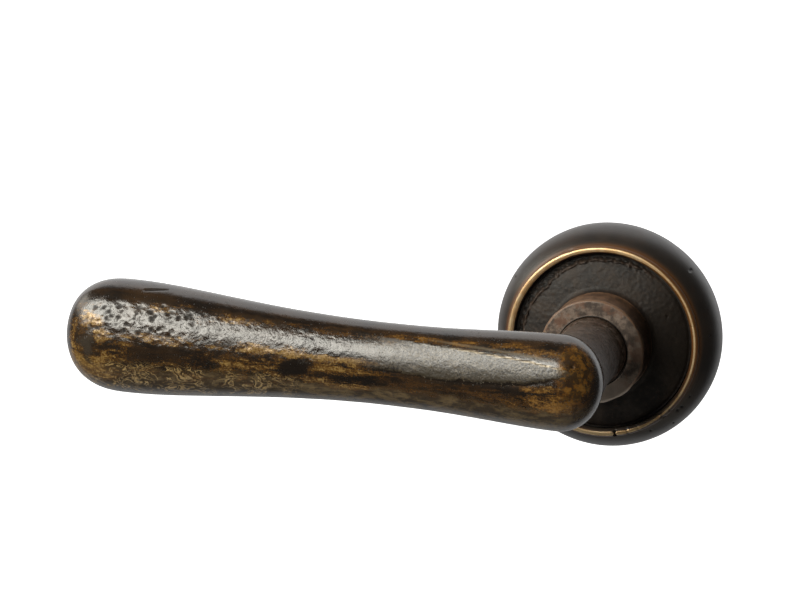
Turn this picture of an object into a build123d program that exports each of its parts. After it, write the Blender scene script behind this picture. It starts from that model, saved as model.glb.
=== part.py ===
"""Door lever handle on a round rose, with its sprung cassette, spindle and fixings.

Frame: the door face is the plane Y = 0 and the spindle runs along Y through the origin. The handle
stands on the -Y side, the door is on the +Y side, +Z is up, and the grip points along -X.
"Out" below is the distance from the door face towards the hand, so out = -Y. Millimetres.
"""

import os
from math import atan2, cos, degrees, hypot, radians, sin

from build123d import *

os.makedirs("parts", exist_ok=True)

# Rose, the round cover: a domed outer ring with a bead, and a sunk dish with a boss
ROSE_R = 26.0
RIM_BACK = 0.2  # the cover's back edge stands just off the door
RIM_TOP = 2.6  # where the upright rim turns into the dome
BEAD_R = 21.2  # centre of the bead's round section
BEAD_OUT = 10.75
BEAD_ROLL = 0.85
COVER_BORE = 23.0
COVER_INSIDE = 8.1  # inner face of the ring's flange
SEAT_R = 21.7  # step in the ring that holds the dish
SEAT_OUT = 8.9
DISH_R = 20.25
FIELD_R = 19.3  # the dish's field ends here, and a sunk margin follows
FIELD_OUT = 10.0
FIELD_RISE = 2.0  # the field climbs this far from its edge to the boss
FIELD_CROWN = 0.3
MARGIN_OUT = 9.2
BOSS_R = 11.75
BOSS_OUT = 22.0
BOSS_BORE = 10.3
LIP_R = 7.95
LIP_THICK = 1.2
FIT = 0.05  # radial gap of a part that is pushed in by hand

# Lever
NECK_R = 7.8
JOURNAL_R = 7.0
GRIP_OUT = 53.3  # the grip's own axis
ELBOW_R = 10.2  # half height at the neck end, which is a round end
ELBOW_LENGTH = 8.9  # from the neck's axis to that end
WAIST_AT = 38.0
WAIST_R = 8.85
SWELL_AT = 97.0
SWELL_R = 12.65
TIP_LENGTH = 13.7  # the rounded tip beyond the swell
TIP_SQUARENESS = 2.4  # exponent of the tip's outline, 2 being an ellipse
FLARE_FROM = 38.0  # the neck is a plain cylinder up to here, and widens into the elbow
FLARE_TO = 52.5
FLARE_R = 8.5
GRIP_FLATTEN = 0.78  # depth of the grip's section over its height

# Bearing and retention, front to back
HUB_R = 10.1
HUB_OUT = 17.6
BUSH_R = 8.5
BUSH_FLANGE = 1.0
BUSH_BODY = 5.5
SHOULDER_OUT = HUB_OUT + BUSH_FLANGE + FIT
REAR_FLANGE_R = 9.7
WASHER_R = 9.5
WASHER_OUT = 6.35
WASHER_THICK = 0.6
DISHED_THICK = 0.35
CIRCLIP_OUT = 4.6
CIRCLIP_THICK = 1.0
CIRCLIP_GROOVE_R = 6.7
CIRCLIP_R = 8.7
NECK_END_OUT = 3.4

# Base plate and spring cassette
PLATE_R = 22.6
PLATE_THICK = 3.5
CUP_R = 14.9
CUP_OUT = 8.0
CAVITY_R = 13.6
CAVITY_FLOOR = 7.0
COVER_PLATE_R = 15.5
COVER_PLATE_THICK = 0.95
EAR_AT = 17.0
EAR_R = 2.4
RIVET_R = 0.8
RIVET_HEAD_R = 1.5
CLIP_GROOVE_R = 21.9
CLIP_GROOVE_LOW = 0.7
CLIP_GROOVE_HIGH = 2.9
STOP_IN = 12.3  # inner radius of the two cast stops
LEVER_TRAVEL = 45.0  # degrees that the grip swings down

# Driver and torsion spring
DRIVER_R = 9.6
DRIVER_LOW = 1.1
DRIVER_THICK = 2.0
ARM_THICK = 1.15
ARM_WIDTH = 4.4
ARM_R = 13.2
SPRING_R = 11.2  # middle of the wire
SPRING_WIRE_R = 0.75
SPRING_PITCH = 1.6
SPRING_TURNS = 1.9
SPRING_LOW = 3.1  # middle of the wire where the coil starts, beside the driver
SPRING_BEND = 1.25  # radius of the bend from the coil into each leg
SPRING_HOLE_R = 0.85

# Spindle and fixings
SPINDLE_SIDE = 8.0
SPINDLE_SOCKET = 8.1
SPINDLE_INNER_OUT = 34.0
SPINDLE_REACH = 66.0  # into the door and the handle on the far side
GRUB_OUT = 28.0
GRUB_R = 2.5
BOLT_SPACING = 38.0
BOLT_R = 2.0
BOLT_SHANK_R = 1.75  # plain shank inside the plate, before the thread
THREAD_FROM = 0.3  # threads start this far behind the door face
BOLT_REACH = 26.5
BOLT_HEAD_R = 3.7
BOLT_HEAD_HIGH = 2.6
BOLT_WASHER_THICK = 0.5
SCREW_SPACING = 37.0
SCREW_R = 1.75
SCREW_SHANK_R = 1.5
SCREW_HEAD_R = 3.5
SCREW_REACH = 21.5
SCREW_TIP = 5.0
RECESS_DEPTH = 1.6
RECESS_ARM = 3.2
RECESS_WIDTH = 0.8

# Seen from the hand, angles run anticlockwise from +X, which is also how the lever turns
BEND_ANGLE = degrees(atan2(SPRING_BEND, SPRING_R))
LEG_R = hypot(SPRING_R, SPRING_BEND)
COIL_START = 90.0 - BEND_ANGLE  # the moving leg stands straight above the axis
COIL_END = COIL_START - 360.0 * SPRING_TURNS
FIXED_LEG_ANGLE = COIL_END - BEND_ANGLE
EAR_ANGLES = (45, 135, 225, 315)


def out_plane(out):
    """The plane parallel to the door, this far out, facing the hand."""
    return Plane.XZ.offset(out)


def polar(radius, angle, out=0.0):
    """A point at a radius and angle about the spindle, this far out from the door."""
    return (radius * cos(radians(angle)), -out, radius * sin(radians(angle)))


def cross_recess(out):
    """The cutter for a screwdriver's cross in a head that ends this far out."""
    with BuildPart() as cross:
        with BuildSketch(out_plane(out - RECESS_DEPTH)):
            Rectangle(RECESS_ARM, RECESS_WIDTH)
            Rectangle(RECESS_WIDTH, RECESS_ARM)
        extrude(amount=RECESS_DEPTH + 0.1)
    return cross.part


def finish(part, name):
    """Names a finished piece and writes its STEP."""
    part.label = name
    export_step(part, f"parts/{name}.step")


def tube(outer, inner, low, high):
    """A plain ring round the spindle axis, between two distances out."""
    with BuildPart() as ring:
        with BuildSketch(out_plane(low)):
            Circle(outer)
            Circle(inner, mode=Mode.SUBTRACT)
        extrude(amount=high - low)
    return ring.part


# --- Rose ring: upright rim, convex dome, rolled bead, and a step inside that seats the dish
bead_foot = (BEAD_R + BEAD_ROLL * cos(radians(20)), -BEAD_OUT + BEAD_ROLL * sin(radians(20)))
with BuildPart() as rose_ring:
    with BuildSketch(Plane.XY):
        with BuildLine():
            Line((COVER_BORE, -RIM_BACK), (ROSE_R - 0.4, -RIM_BACK))
            Line((ROSE_R - 0.4, -RIM_BACK), (ROSE_R, -RIM_BACK - 0.6))
            Line((ROSE_R, -RIM_BACK - 0.6), (ROSE_R, -RIM_TOP))
            TangentArc((ROSE_R, -RIM_TOP), bead_foot, tangent=(0, -1))
            ThreePointArc(
                bead_foot,
                (BEAD_R, -BEAD_OUT - BEAD_ROLL),
                (BEAD_R - BEAD_ROLL, -BEAD_OUT),
            )
            Polyline(
                (BEAD_R - BEAD_ROLL, -BEAD_OUT),
                (BEAD_R - BEAD_ROLL, -SEAT_OUT),
                (SEAT_R, -SEAT_OUT),
                (SEAT_R, -COVER_INSIDE),
                (COVER_BORE, -COVER_INSIDE),
                (COVER_BORE, -RIM_BACK),
            )
        make_face()
    revolve(axis=Axis.Y)
    # pry notch at the foot of the rim, for lifting the cover off its clip
    with Locations((0, -RIM_BACK, -ROSE_R + 1.2)):
        Box(6.0, 1.6, 4.0, mode=Mode.SUBTRACT)
finish(rose_ring.part, "rose_ring")

# --- Rose dish: sunk field with a sunk margin, and the boss that covers the bearing
field_top = FIELD_OUT + FIELD_RISE
with BuildPart() as rose_dish:
    with BuildSketch(Plane.XY):
        with BuildLine():
            ThreePointArc(
                (FIELD_R, -FIELD_OUT),
                ((FIELD_R + BOSS_R) / 2, -FIELD_OUT - FIELD_RISE / 2 - FIELD_CROWN),
                (BOSS_R, -field_top),
            )
            Polyline(
                (BOSS_R, -field_top),
                (BOSS_R, -BOSS_OUT),
                (LIP_R, -BOSS_OUT),
                (LIP_R, -BOSS_OUT + LIP_THICK),
                (BOSS_BORE, -BOSS_OUT + LIP_THICK),
                (BOSS_BORE, -COVER_INSIDE - FIT),
                (SEAT_R - FIT, -COVER_INSIDE - FIT),
                (SEAT_R - FIT, -SEAT_OUT + FIT),
                (DISH_R, -SEAT_OUT + FIT),
                (DISH_R, -MARGIN_OUT),
                (FIELD_R + 0.4, -MARGIN_OUT),
                (FIELD_R, -FIELD_OUT),
            )
        make_face()
    revolve(axis=Axis.Y)
    for end, size in ((0, 0.7), (-1, 1.6)):
        rims = rose_dish.edges().filter_by(lambda edge: edge.geom_type == GeomType.CIRCLE)
        boss_rims = rims.filter_by(lambda edge: abs(edge.radius - BOSS_R) < 0.01)
        fillet(boss_rims.sort_by(Axis.Y)[end], size)
finish(rose_dish.part, "rose_dish")

# --- Neck guide ring, pressed in behind the boss's lip
guide_high = BOSS_OUT - LIP_THICK
guide_ring = tube(BOSS_BORE - 0.01, NECK_R + 0.08, guide_high - 1.1, guide_high - 0.01)
finish(guide_ring, "neck_guide_ring")

# --- Base plate: flange, spring cup and bearing hub in one casting
with BuildPart() as base_plate:
    with BuildSketch(Plane.XY):
        Polygon(
            (BUSH_R, -CAVITY_FLOOR - 1.0),
            (REAR_FLANGE_R + FIT, -CAVITY_FLOOR - 1.0),
            (REAR_FLANGE_R + FIT, -CAVITY_FLOOR),
            (CAVITY_R, -CAVITY_FLOOR),
            (CAVITY_R, -COVER_PLATE_THICK),
            (COVER_PLATE_R + 0.1, -COVER_PLATE_THICK),
            (COVER_PLATE_R + 0.1, 0),
            (PLATE_R, 0),
            (PLATE_R, -CLIP_GROOVE_LOW),
            (CLIP_GROOVE_R, -CLIP_GROOVE_LOW),
            (CLIP_GROOVE_R, -CLIP_GROOVE_HIGH),
            (PLATE_R, -CLIP_GROOVE_HIGH),
            (PLATE_R, -PLATE_THICK),
            (CUP_R, -PLATE_THICK),
            (CUP_R, -CUP_OUT),
            (HUB_R, -CUP_OUT),
            (HUB_R, -HUB_OUT),
            (BUSH_R, -HUB_OUT),
            align=None,
        )
    revolve(axis=Axis.Y)
    # two cast stops for the driver's arm, one at rest and one at full travel
    stop_gap = ARM_WIDTH / 2 + 0.06
    with BuildSketch(out_plane(COVER_PLATE_THICK)):
        for turn, side in ((0, 1), (LEVER_TRAVEL, -1)):
            with Locations(Location((0, 0, 0), (0, 0, turn))):
                with Locations((side * (stop_gap + 1.6), STOP_IN + 0.7)):
                    Rectangle(3.2, 2.4)
        Circle(CAVITY_R + 0.2, mode=Mode.INTERSECT)
        Circle(STOP_IN, mode=Mode.SUBTRACT)
    extrude(amount=CAVITY_FLOOR - COVER_PLATE_THICK)
    # ears of the cassette's cover plate are let into the back face
    with BuildSketch(out_plane(0)):
        with PolarLocations(EAR_AT, len(EAR_ANGLES), start_angle=EAR_ANGLES[0]):
            Circle(EAR_R + 0.1)
    extrude(amount=COVER_PLATE_THICK, mode=Mode.SUBTRACT)
    with BuildSketch(out_plane(0)):
        with PolarLocations(EAR_AT, len(EAR_ANGLES), start_angle=EAR_ANGLES[0]):
            Circle(RIVET_R + 0.02)
        with GridLocations(BOLT_SPACING, 0, 2, 1):
            Circle(BOLT_R + 0.15)
    extrude(amount=PLATE_THICK, mode=Mode.SUBTRACT)
    for side in (-1, 1):
        with Locations(out_plane(PLATE_THICK) * Location((0, side * SCREW_SPACING / 2, 0))):
            CounterSinkHole(SCREW_R + 0.15, SCREW_HEAD_R + 0.05, PLATE_THICK, counter_sink_angle=90)
    # hole that holds the spring's fixed leg
    with BuildSketch(out_plane(CAVITY_FLOOR)):
        with PolarLocations(LEG_R, 1, start_angle=FIXED_LEG_ANGLE):
            Circle(SPRING_HOLE_R)
    extrude(amount=CUP_OUT - CAVITY_FLOOR, mode=Mode.SUBTRACT)
finish(base_plate.part, "base_plate")

# --- Clip ring: split nylon ring in the plate's groove, with pads that grip the cover's bore
with BuildPart() as clip_ring:
    with BuildSketch(out_plane(CLIP_GROOVE_LOW + FIT)):
        Circle(PLATE_R)
        with PolarLocations(COVER_BORE - FIT - 2.0, 6, start_angle=15):
            Circle(2.0)
        Circle(CLIP_GROOVE_R + FIT, mode=Mode.SUBTRACT)
        with Locations((0, CLIP_GROOVE_R)):
            Rectangle(2.5, 4.0, mode=Mode.SUBTRACT)
    extrude(amount=CLIP_GROOVE_HIGH - CLIP_GROOVE_LOW - 2 * FIT)
finish(clip_ring.part, "cover_clip_ring")

# --- Bushes: flanged nylon, one at each end of the hub
front_low = HUB_OUT - BUSH_BODY
with BuildPart() as front_bush:
    with BuildSketch(out_plane(front_low)):
        Circle(BUSH_R - 0.01)
    extrude(amount=BUSH_BODY)
    with BuildSketch(out_plane(HUB_OUT)):
        Circle(HUB_R - 0.1)
    extrude(amount=BUSH_FLANGE)
    with BuildSketch(out_plane(front_low)):
        Circle(JOURNAL_R + 0.05)
    extrude(amount=BUSH_BODY + BUSH_FLANGE, mode=Mode.SUBTRACT)
finish(front_bush.part, "front_bush")

with BuildPart() as rear_bush:
    with BuildSketch(out_plane(CAVITY_FLOOR + 0.02)):
        Circle(REAR_FLANGE_R)
    extrude(amount=BUSH_FLANGE - FIT)
    with BuildSketch(out_plane(CAVITY_FLOOR + 0.02)):
        Circle(BUSH_R - 0.01)
    extrude(amount=BUSH_BODY - BUSH_FLANGE)
    with BuildSketch(out_plane(CAVITY_FLOOR)):
        Circle(JOURNAL_R + 0.05)
    extrude(amount=BUSH_BODY, mode=Mode.SUBTRACT)
finish(rear_bush.part, "rear_bush")

# --- Cassette cover plate, closing the cup at the door side
with BuildPart() as cassette_cover:
    with BuildSketch(out_plane(0.02)):
        Circle(COVER_PLATE_R)
        with PolarLocations(EAR_AT, len(EAR_ANGLES), start_angle=EAR_ANGLES[0]):
            Circle(EAR_R)
            Circle(RIVET_R + 0.02, mode=Mode.SUBTRACT)
        Circle(6.6, mode=Mode.SUBTRACT)
    extrude(amount=COVER_PLATE_THICK - 0.05)
    for angle in EAR_ANGLES:
        with Locations(Plane(polar(EAR_AT, angle, 0.02), x_dir=(1, 0, 0), z_dir=(0, 1, 0)).location):
            CounterSinkHole(RIVET_R + 0.02, RIVET_HEAD_R + 0.05, PLATE_THICK, counter_sink_angle=90)
finish(cassette_cover.part, "cassette_cover")

# --- Rivets through the ears: flush at the door side, domed in front
with BuildPart() as rivet:
    with BuildSketch(Plane.XY):
        Polygon(
            (0, -0.04),
            (RIVET_HEAD_R - 0.02, -0.04),
            (RIVET_R, -0.74),
            (RIVET_R, -PLATE_THICK - 0.01),
            (RIVET_HEAD_R, -PLATE_THICK - 0.01),
            (RIVET_HEAD_R * 0.6, -PLATE_THICK - 0.7),
            (0, -PLATE_THICK - 0.8),
            align=None,
        )
    revolve(axis=Axis.Y)
with BuildPart() as cassette_rivets:
    with Locations(*[polar(EAR_AT, angle) for angle in EAR_ANGLES]):
        add(rivet.part)
finish(cassette_rivets.part, "cassette_rivets")

# --- Torsion spring round the washers, with a leg turned along the axis at each end
coil_top = SPRING_LOW + SPRING_PITCH * SPRING_TURNS
loose_coil = Helix(
    SPRING_PITCH,
    SPRING_PITCH * SPRING_TURNS,
    SPRING_R,
    center=(0, -SPRING_LOW, 0),
    direction=(0, -1, 0),
    lefthand=True,
)
made_start = degrees(atan2((loose_coil @ 0).Z, (loose_coil @ 0).X))
turned_coil = loose_coil.rotate(Axis((0, 0, 0), (0, -1, 0)), COIL_START - made_start)
with BuildPart() as return_spring:
    with BuildLine() as wire_path:
        moving_leg = Line(polar(LEG_R, 90, DRIVER_LOW + 0.1), polar(LEG_R, 90, SPRING_LOW - SPRING_BEND))
        TangentArc(moving_leg @ 1, turned_coil @ 0, tangent=moving_leg % 1)
        add(turned_coil)
        fixed_bend = TangentArc(
            turned_coil @ 1, polar(LEG_R, FIXED_LEG_ANGLE, coil_top + SPRING_BEND), tangent=turned_coil % 1
        )
        Line(fixed_bend @ 1, polar(LEG_R, FIXED_LEG_ANGLE, CUP_OUT - 0.1))
    with BuildSketch(Plane(moving_leg @ 0, z_dir=moving_leg % 0)):
        Circle(SPRING_WIRE_R)
    sweep(path=wire_path.wires()[0])
finish(return_spring.part, "return_spring")

# --- Driver: plate on the spindle, whose arm winds the spring and meets the stops
with BuildPart() as spring_driver:
    with BuildSketch(out_plane(DRIVER_LOW)):
        Circle(DRIVER_R)
    extrude(amount=DRIVER_THICK)
    with BuildSketch(out_plane(DRIVER_LOW)):
        with Locations((0, ARM_R / 2)):
            Rectangle(ARM_WIDTH, ARM_R)
        Circle(ARM_R - 0.1, mode=Mode.INTERSECT)
    extrude(amount=ARM_THICK)
    with BuildSketch(out_plane(DRIVER_LOW)):
        Rectangle(SPINDLE_SOCKET, SPINDLE_SOCKET)
        with PolarLocations(LEG_R, 1, start_angle=90):
            Circle(SPRING_HOLE_R)
    extrude(amount=DRIVER_THICK, mode=Mode.SUBTRACT)
finish(spring_driver.part, "spring_driver")

# --- Washers: a flat one against the rear bush, and a dished one that takes up the play
thrust_washer = tube(WASHER_R, JOURNAL_R + FIT, WASHER_OUT, WASHER_OUT + WASHER_THICK)
finish(thrust_washer, "thrust_washer")

dish_foot = CIRCLIP_OUT + CIRCLIP_THICK + 0.02
dish_rim = WASHER_OUT - 0.02
with BuildPart() as dished_washer:
    with BuildSketch(Plane.XY):
        Polygon(
            (JOURNAL_R + FIT, -dish_foot),
            (JOURNAL_R + FIT, -dish_foot - DISHED_THICK),
            (WASHER_R, -dish_rim),
            (WASHER_R, -dish_rim + DISHED_THICK),
            align=None,
        )
    revolve(axis=Axis.Y)
finish(dished_washer.part, "dished_washer")

# --- Circlip: open ring with two eyes for the pliers
with BuildPart() as circlip:
    with BuildSketch(out_plane(CIRCLIP_OUT)):
        Circle(CIRCLIP_R)
        with PolarLocations(CIRCLIP_R - 0.9, 2, start_angle=-112, angular_range=44, rotate=False):
            Circle(1.5)
        Circle(CIRCLIP_GROOVE_R + 0.02, mode=Mode.SUBTRACT)
        with Locations((0, -CIRCLIP_R)):
            Rectangle(3.0, 6.0, mode=Mode.SUBTRACT)
        with PolarLocations(CIRCLIP_R - 0.5, 2, start_angle=-112, angular_range=44, rotate=False):
            Circle(0.6, mode=Mode.SUBTRACT)
    extrude(amount=CIRCLIP_THICK)
finish(circlip.part, "circlip")

# --- Grip: turned about its own length, then flattened front to back
tip_points = []
for step in range(7):
    swing = radians(90.0 * step / 6)
    along = SWELL_AT + TIP_LENGTH * sin(swing) ** (2 / TIP_SQUARENESS)
    tip_points.append((-along, SWELL_R * cos(swing) ** (2 / TIP_SQUARENESS)))
with BuildPart() as grip_form:
    with BuildSketch(Plane.XY):
        with BuildLine():
            EllipticalCenterArc((0, 0), ELBOW_LENGTH, ELBOW_R, 0, arc_size=90)
            Spline(
                (0, ELBOW_R),
                (-18, 9.35),
                (-WAIST_AT, WAIST_R),
                (-60, 9.8),
                (-80, 11.65),
                (-SWELL_AT, SWELL_R),
                tangents=[(-1, 0), (-1, 0)],
            )
            Spline(*tip_points, tangents=[(-1, 0), (0, -1)])
            Line(tip_points[-1], (ELBOW_LENGTH, 0))
        make_face()
    revolve(axis=Axis.X)
    scale(by=(1, GRIP_FLATTEN, 1))

# --- Lever: journal with the circlip's groove, neck, elbow and grip in one casting
groove_low = CIRCLIP_OUT - 0.03
groove_high = CIRCLIP_OUT + CIRCLIP_THICK + 0.03
with BuildPart() as lever:
    with BuildSketch(Plane.XY):
        with BuildLine():
            Polyline(
                (0, -GRIP_OUT),
                (0, -NECK_END_OUT),
                (JOURNAL_R - 0.4, -NECK_END_OUT),
                (JOURNAL_R, -NECK_END_OUT - 0.4),
                (JOURNAL_R, -groove_low),
                (CIRCLIP_GROOVE_R, -groove_low),
                (CIRCLIP_GROOVE_R, -groove_high),
                (JOURNAL_R, -groove_high),
                (JOURNAL_R, -SHOULDER_OUT),
                (NECK_R, -SHOULDER_OUT),
                (NECK_R, -FLARE_FROM),
            )
            TangentArc((NECK_R, -FLARE_FROM), (FLARE_R, -FLARE_TO), tangent=(0, -1))
            Polyline((FLARE_R, -FLARE_TO), (FLARE_R, -GRIP_OUT), (0, -GRIP_OUT))
        make_face()
    revolve(axis=Axis.Y)
    with Locations((0, -GRIP_OUT, 0)):
        add(grip_form.part)
    with BuildSketch(out_plane(NECK_END_OUT)):
        Rectangle(SPINDLE_SOCKET, SPINDLE_SOCKET)
    extrude(amount=SPINDLE_INNER_OUT + 0.5 - NECK_END_OUT, mode=Mode.SUBTRACT)
    with BuildSketch(Plane.XY.offset(-NECK_R)):
        with Locations((0, -GRUB_OUT)):
            Circle(GRUB_R)
    extrude(amount=NECK_R, mode=Mode.SUBTRACT)
finish(lever.part, "lever")

# --- Spindle: square bar from the lever's neck through the lock
with BuildPart() as spindle:
    with BuildSketch(out_plane(-SPINDLE_REACH)):
        Rectangle(SPINDLE_SIDE, SPINDLE_SIDE)
    extrude(amount=SPINDLE_REACH + SPINDLE_INNER_OUT)
    chamfer(spindle.edges().filter_by(Plane.XZ), 0.6)
finish(spindle.part, "spindle")

# --- Grub screw, tight against the spindle
with BuildPart() as grub_screw:
    with BuildSketch(Plane.XY.offset(-NECK_R + 0.4)):
        with Locations((0, -GRUB_OUT)):
            Circle(GRUB_R - 0.01)
    extrude(amount=NECK_R - 0.4 - SPINDLE_SIDE / 2 - 0.01)
    with BuildSketch(Plane.XY.offset(-NECK_R + 0.4)):
        with Locations((0, -GRUB_OUT)):
            RegularPolygon(1.25, 6, major_radius=False)
    extrude(amount=2.0, mode=Mode.SUBTRACT)
finish(grub_screw.part, "grub_screw")


# --- Through bolts with their washers: pan heads on the plate, shanks through the door
head_low = PLATE_THICK + BOLT_WASHER_THICK + 0.02
head_top = head_low + BOLT_HEAD_HIGH
bolt_cross = cross_recess(head_top)
with BuildPart() as bolt:
    with BuildSketch(Plane.XY):
        with BuildLine():
            Polyline(
                (0, -head_top),
                (0, BOLT_REACH),
                (BOLT_R - 0.5, BOLT_REACH),
                (BOLT_R, BOLT_REACH - 0.5),
                (BOLT_R, THREAD_FROM),
                (BOLT_SHANK_R, THREAD_FROM),
                (BOLT_SHANK_R, -head_low),
                (BOLT_HEAD_R, -head_low),
                (BOLT_HEAD_R, -head_low - 0.8),
            )
            ThreePointArc(
                (BOLT_HEAD_R, -head_low - 0.8),
                (BOLT_HEAD_R * 0.72, -head_top + 0.55),
                (0, -head_top),
            )
        make_face()
    revolve(axis=Axis.Y)
    add(bolt_cross, mode=Mode.SUBTRACT)
with BuildPart() as through_bolts:
    with Locations((-BOLT_SPACING / 2, 0, 0), (BOLT_SPACING / 2, 0, 0)):
        add(bolt.part)
finish(through_bolts.part, "through_bolts")

with BuildPart() as bolt_washers:
    with BuildSketch(out_plane(PLATE_THICK + 0.01)):
        with GridLocations(BOLT_SPACING, 0, 2, 1):
            Circle(BOLT_HEAD_R)
            Circle(BOLT_R + 0.15, mode=Mode.SUBTRACT)
    extrude(amount=BOLT_WASHER_THICK)
finish(bolt_washers.part, "bolt_washers")

# --- Wood screws: countersunk, above and below the spindle
screw_top = PLATE_THICK - 0.02
screw_cross = cross_recess(screw_top)
with BuildPart() as screw:
    with BuildSketch(Plane.XY):
        Polygon(
            (0, -screw_top),
            (SCREW_HEAD_R, -screw_top),
            (SCREW_SHANK_R, -screw_top + SCREW_HEAD_R - SCREW_SHANK_R),
            (SCREW_SHANK_R, THREAD_FROM),
            (SCREW_R, THREAD_FROM),
            (SCREW_R, SCREW_REACH - SCREW_TIP),
            (0, SCREW_REACH),
            align=None,
        )
    revolve(axis=Axis.Y)
    add(screw_cross, mode=Mode.SUBTRACT)
with BuildPart() as wood_screws:
    with Locations((0, 0, -SCREW_SPACING / 2), (0, 0, SCREW_SPACING / 2)):
        add(screw.part)
finish(wood_screws.part, "wood_screws")
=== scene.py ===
"""Cast bronze door lever on a round rose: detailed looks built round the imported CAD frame."""

import math
from functools import reduce
from itertools import product

import bmesh
import bpy
import numpy as np
from mathutils import Matrix, Vector, noise
from mathutils.bvhtree import BVHTree


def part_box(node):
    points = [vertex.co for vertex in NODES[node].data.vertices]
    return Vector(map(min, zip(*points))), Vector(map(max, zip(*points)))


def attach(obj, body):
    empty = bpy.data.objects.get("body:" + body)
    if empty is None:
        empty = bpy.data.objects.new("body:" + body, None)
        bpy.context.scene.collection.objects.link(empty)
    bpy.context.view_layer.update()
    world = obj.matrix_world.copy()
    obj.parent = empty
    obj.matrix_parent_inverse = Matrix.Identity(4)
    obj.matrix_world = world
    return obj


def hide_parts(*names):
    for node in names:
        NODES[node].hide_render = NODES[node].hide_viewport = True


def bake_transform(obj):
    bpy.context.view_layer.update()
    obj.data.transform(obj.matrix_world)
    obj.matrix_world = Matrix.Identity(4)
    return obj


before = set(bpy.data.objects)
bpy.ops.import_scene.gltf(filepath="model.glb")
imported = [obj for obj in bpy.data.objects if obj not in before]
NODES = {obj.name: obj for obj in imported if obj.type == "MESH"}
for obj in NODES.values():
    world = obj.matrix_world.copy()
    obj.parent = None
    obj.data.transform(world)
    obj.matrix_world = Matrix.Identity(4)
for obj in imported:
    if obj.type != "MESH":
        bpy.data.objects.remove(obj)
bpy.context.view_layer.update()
MM = 0.001


# ---------------------------------------------------------------- small maths on arrays
def ramp(x, low, high):
    """0 below low, 1 above high, smooth between; low may be the larger."""
    t = np.clip((x - low) / (high - low), 0.0, 1.0)
    return t * t * (3.0 - 2.0 * t)


def band(x, low, high, soft):
    """1 between low and high, falling to 0 over soft on either side."""
    return ramp(x, low - soft, low + soft) * (1.0 - ramp(x, high - soft, high + soft))


def grain(points, size, seed):
    """Smooth noise, about -1 to 1, with features of about size mm."""
    shift = Vector((seed * 17.31, seed * 7.77, seed * 3.19))
    return np.array([noise.noise(Vector(p) + shift) for p in points / size])


def cells(points, size, seed):
    """Distances to the nearest and second nearest of scattered points, in cell sizes."""
    shift = Vector((seed * 5.13, seed * 11.7, seed * 2.9))
    found = [noise.voronoi(Vector(p) + shift)[0][:2] for p in points / size]
    return np.array(found)


def wrap(angle):
    """Degrees brought to -180..180."""
    return (angle + 180.0) % 360.0 - 180.0


def spline_through(xs, ys):
    """Cubic through the points with level ends; returns a function of an array."""
    xs, ys = np.asarray(xs, float), np.asarray(ys, float)
    n, h = len(xs), np.diff(xs)
    a, b = np.zeros((n, n)), np.zeros(n)
    a[0, 0] = a[-1, -1] = 1.0
    for i in range(1, n - 1):
        a[i, i - 1], a[i, i + 1] = 1.0 / h[i - 1], 1.0 / h[i]
        a[i, i] = 2.0 * (1.0 / h[i - 1] + 1.0 / h[i])
        b[i] = 3.0 * ((ys[i + 1] - ys[i]) / h[i] ** 2 + (ys[i] - ys[i - 1]) / h[i - 1] ** 2)
    slope = np.linalg.solve(a, b)

    def at(x):
        k = np.clip(np.searchsorted(xs, x) - 1, 0, n - 2)
        t = np.clip((x - xs[k]) / h[k], 0.0, 1.0)
        u = 1.0 - t
        return (
            ys[k] * u * u * (1 + 2 * t)
            + ys[k + 1] * t * t * (3 - 2 * t)
            + h[k] * (slope[k] * t * u * u - slope[k + 1] * t * t * u)
        )

    return at


# ---------------------------------------------------------------- meshes
def placed(name, data):
    """A new object in the scene for a mesh, a lamp or a camera."""
    obj = bpy.data.objects.new(name, data)
    bpy.context.scene.collection.objects.link(obj)
    return obj


def mesh_object(name, verts_mm, faces):
    mesh = bpy.data.meshes.new(name)
    mesh.from_pydata((np.asarray(verts_mm) * MM).tolist(), [], faces)
    mesh.update()
    return placed(name, mesh)


def face_outward(obj):
    bm = bmesh.new()
    bm.from_mesh(obj.data)
    bmesh.ops.recalc_face_normals(bm, faces=bm.faces)
    bm.to_mesh(obj.data)
    bm.free()


def per_vertex(mesh, what):
    """Every vertex's co or normal, as rows of three."""
    values = np.zeros(len(mesh.vertices) * 3)
    mesh.vertices.foreach_get(what, values)
    return values.reshape(-1, 3)


def points_mm(mesh):
    return per_vertex(mesh, "co") / MM


def set_points(mesh, verts_mm):
    mesh.vertices.foreach_set("co", (verts_mm * MM).ravel())
    mesh.update()


def store(mesh, **marks):
    """Keeps each mark, 0 to 1 at every vertex, as an attribute that the materials read."""
    for name, values in marks.items():
        layer = mesh.attributes.new(name, "FLOAT", "POINT")
        layer.data.foreach_set("value", np.clip(values, 0.0, 1.0).astype(np.float32))


def bake(obj):
    """Puts the mesh with the object's modifiers applied in place of the old one."""
    made = bpy.data.meshes.new_from_object(
        obj.evaluated_get(bpy.context.evaluated_depsgraph_get())
    )
    obj.modifiers.clear()
    obj.data = made


def combine(obj, tool, operation):
    """Boolean of obj with tool, which is then removed."""
    change = obj.modifiers.new("combine", "BOOLEAN")
    change.operation = operation
    change.object = tool
    change.solver = "MANIFOLD"
    bake(obj)
    bpy.data.objects.remove(tool)


def shade(obj, angle):
    """Smooth shading with edges sharper than angle kept crisp."""
    mesh = obj.data
    mesh.polygons.foreach_set("use_smooth", [True] * len(mesh.polygons))
    mesh.set_sharp_from_angle(angle=math.radians(angle))


def turned(profile, segments):
    """Vertices, row by row, of a profile of (radius, out) mm turned round the door axis."""
    profile = np.asarray(profile, float)
    turn = np.arange(segments) * (2.0 * math.pi / segments)
    verts = np.zeros((len(profile), segments, 3))
    verts[:, :, 0] = profile[:, :1] * np.cos(turn)
    verts[:, :, 1] = -profile[:, 1:]
    verts[:, :, 2] = profile[:, :1] * np.sin(turn)
    return verts.reshape(-1, 3)


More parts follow.
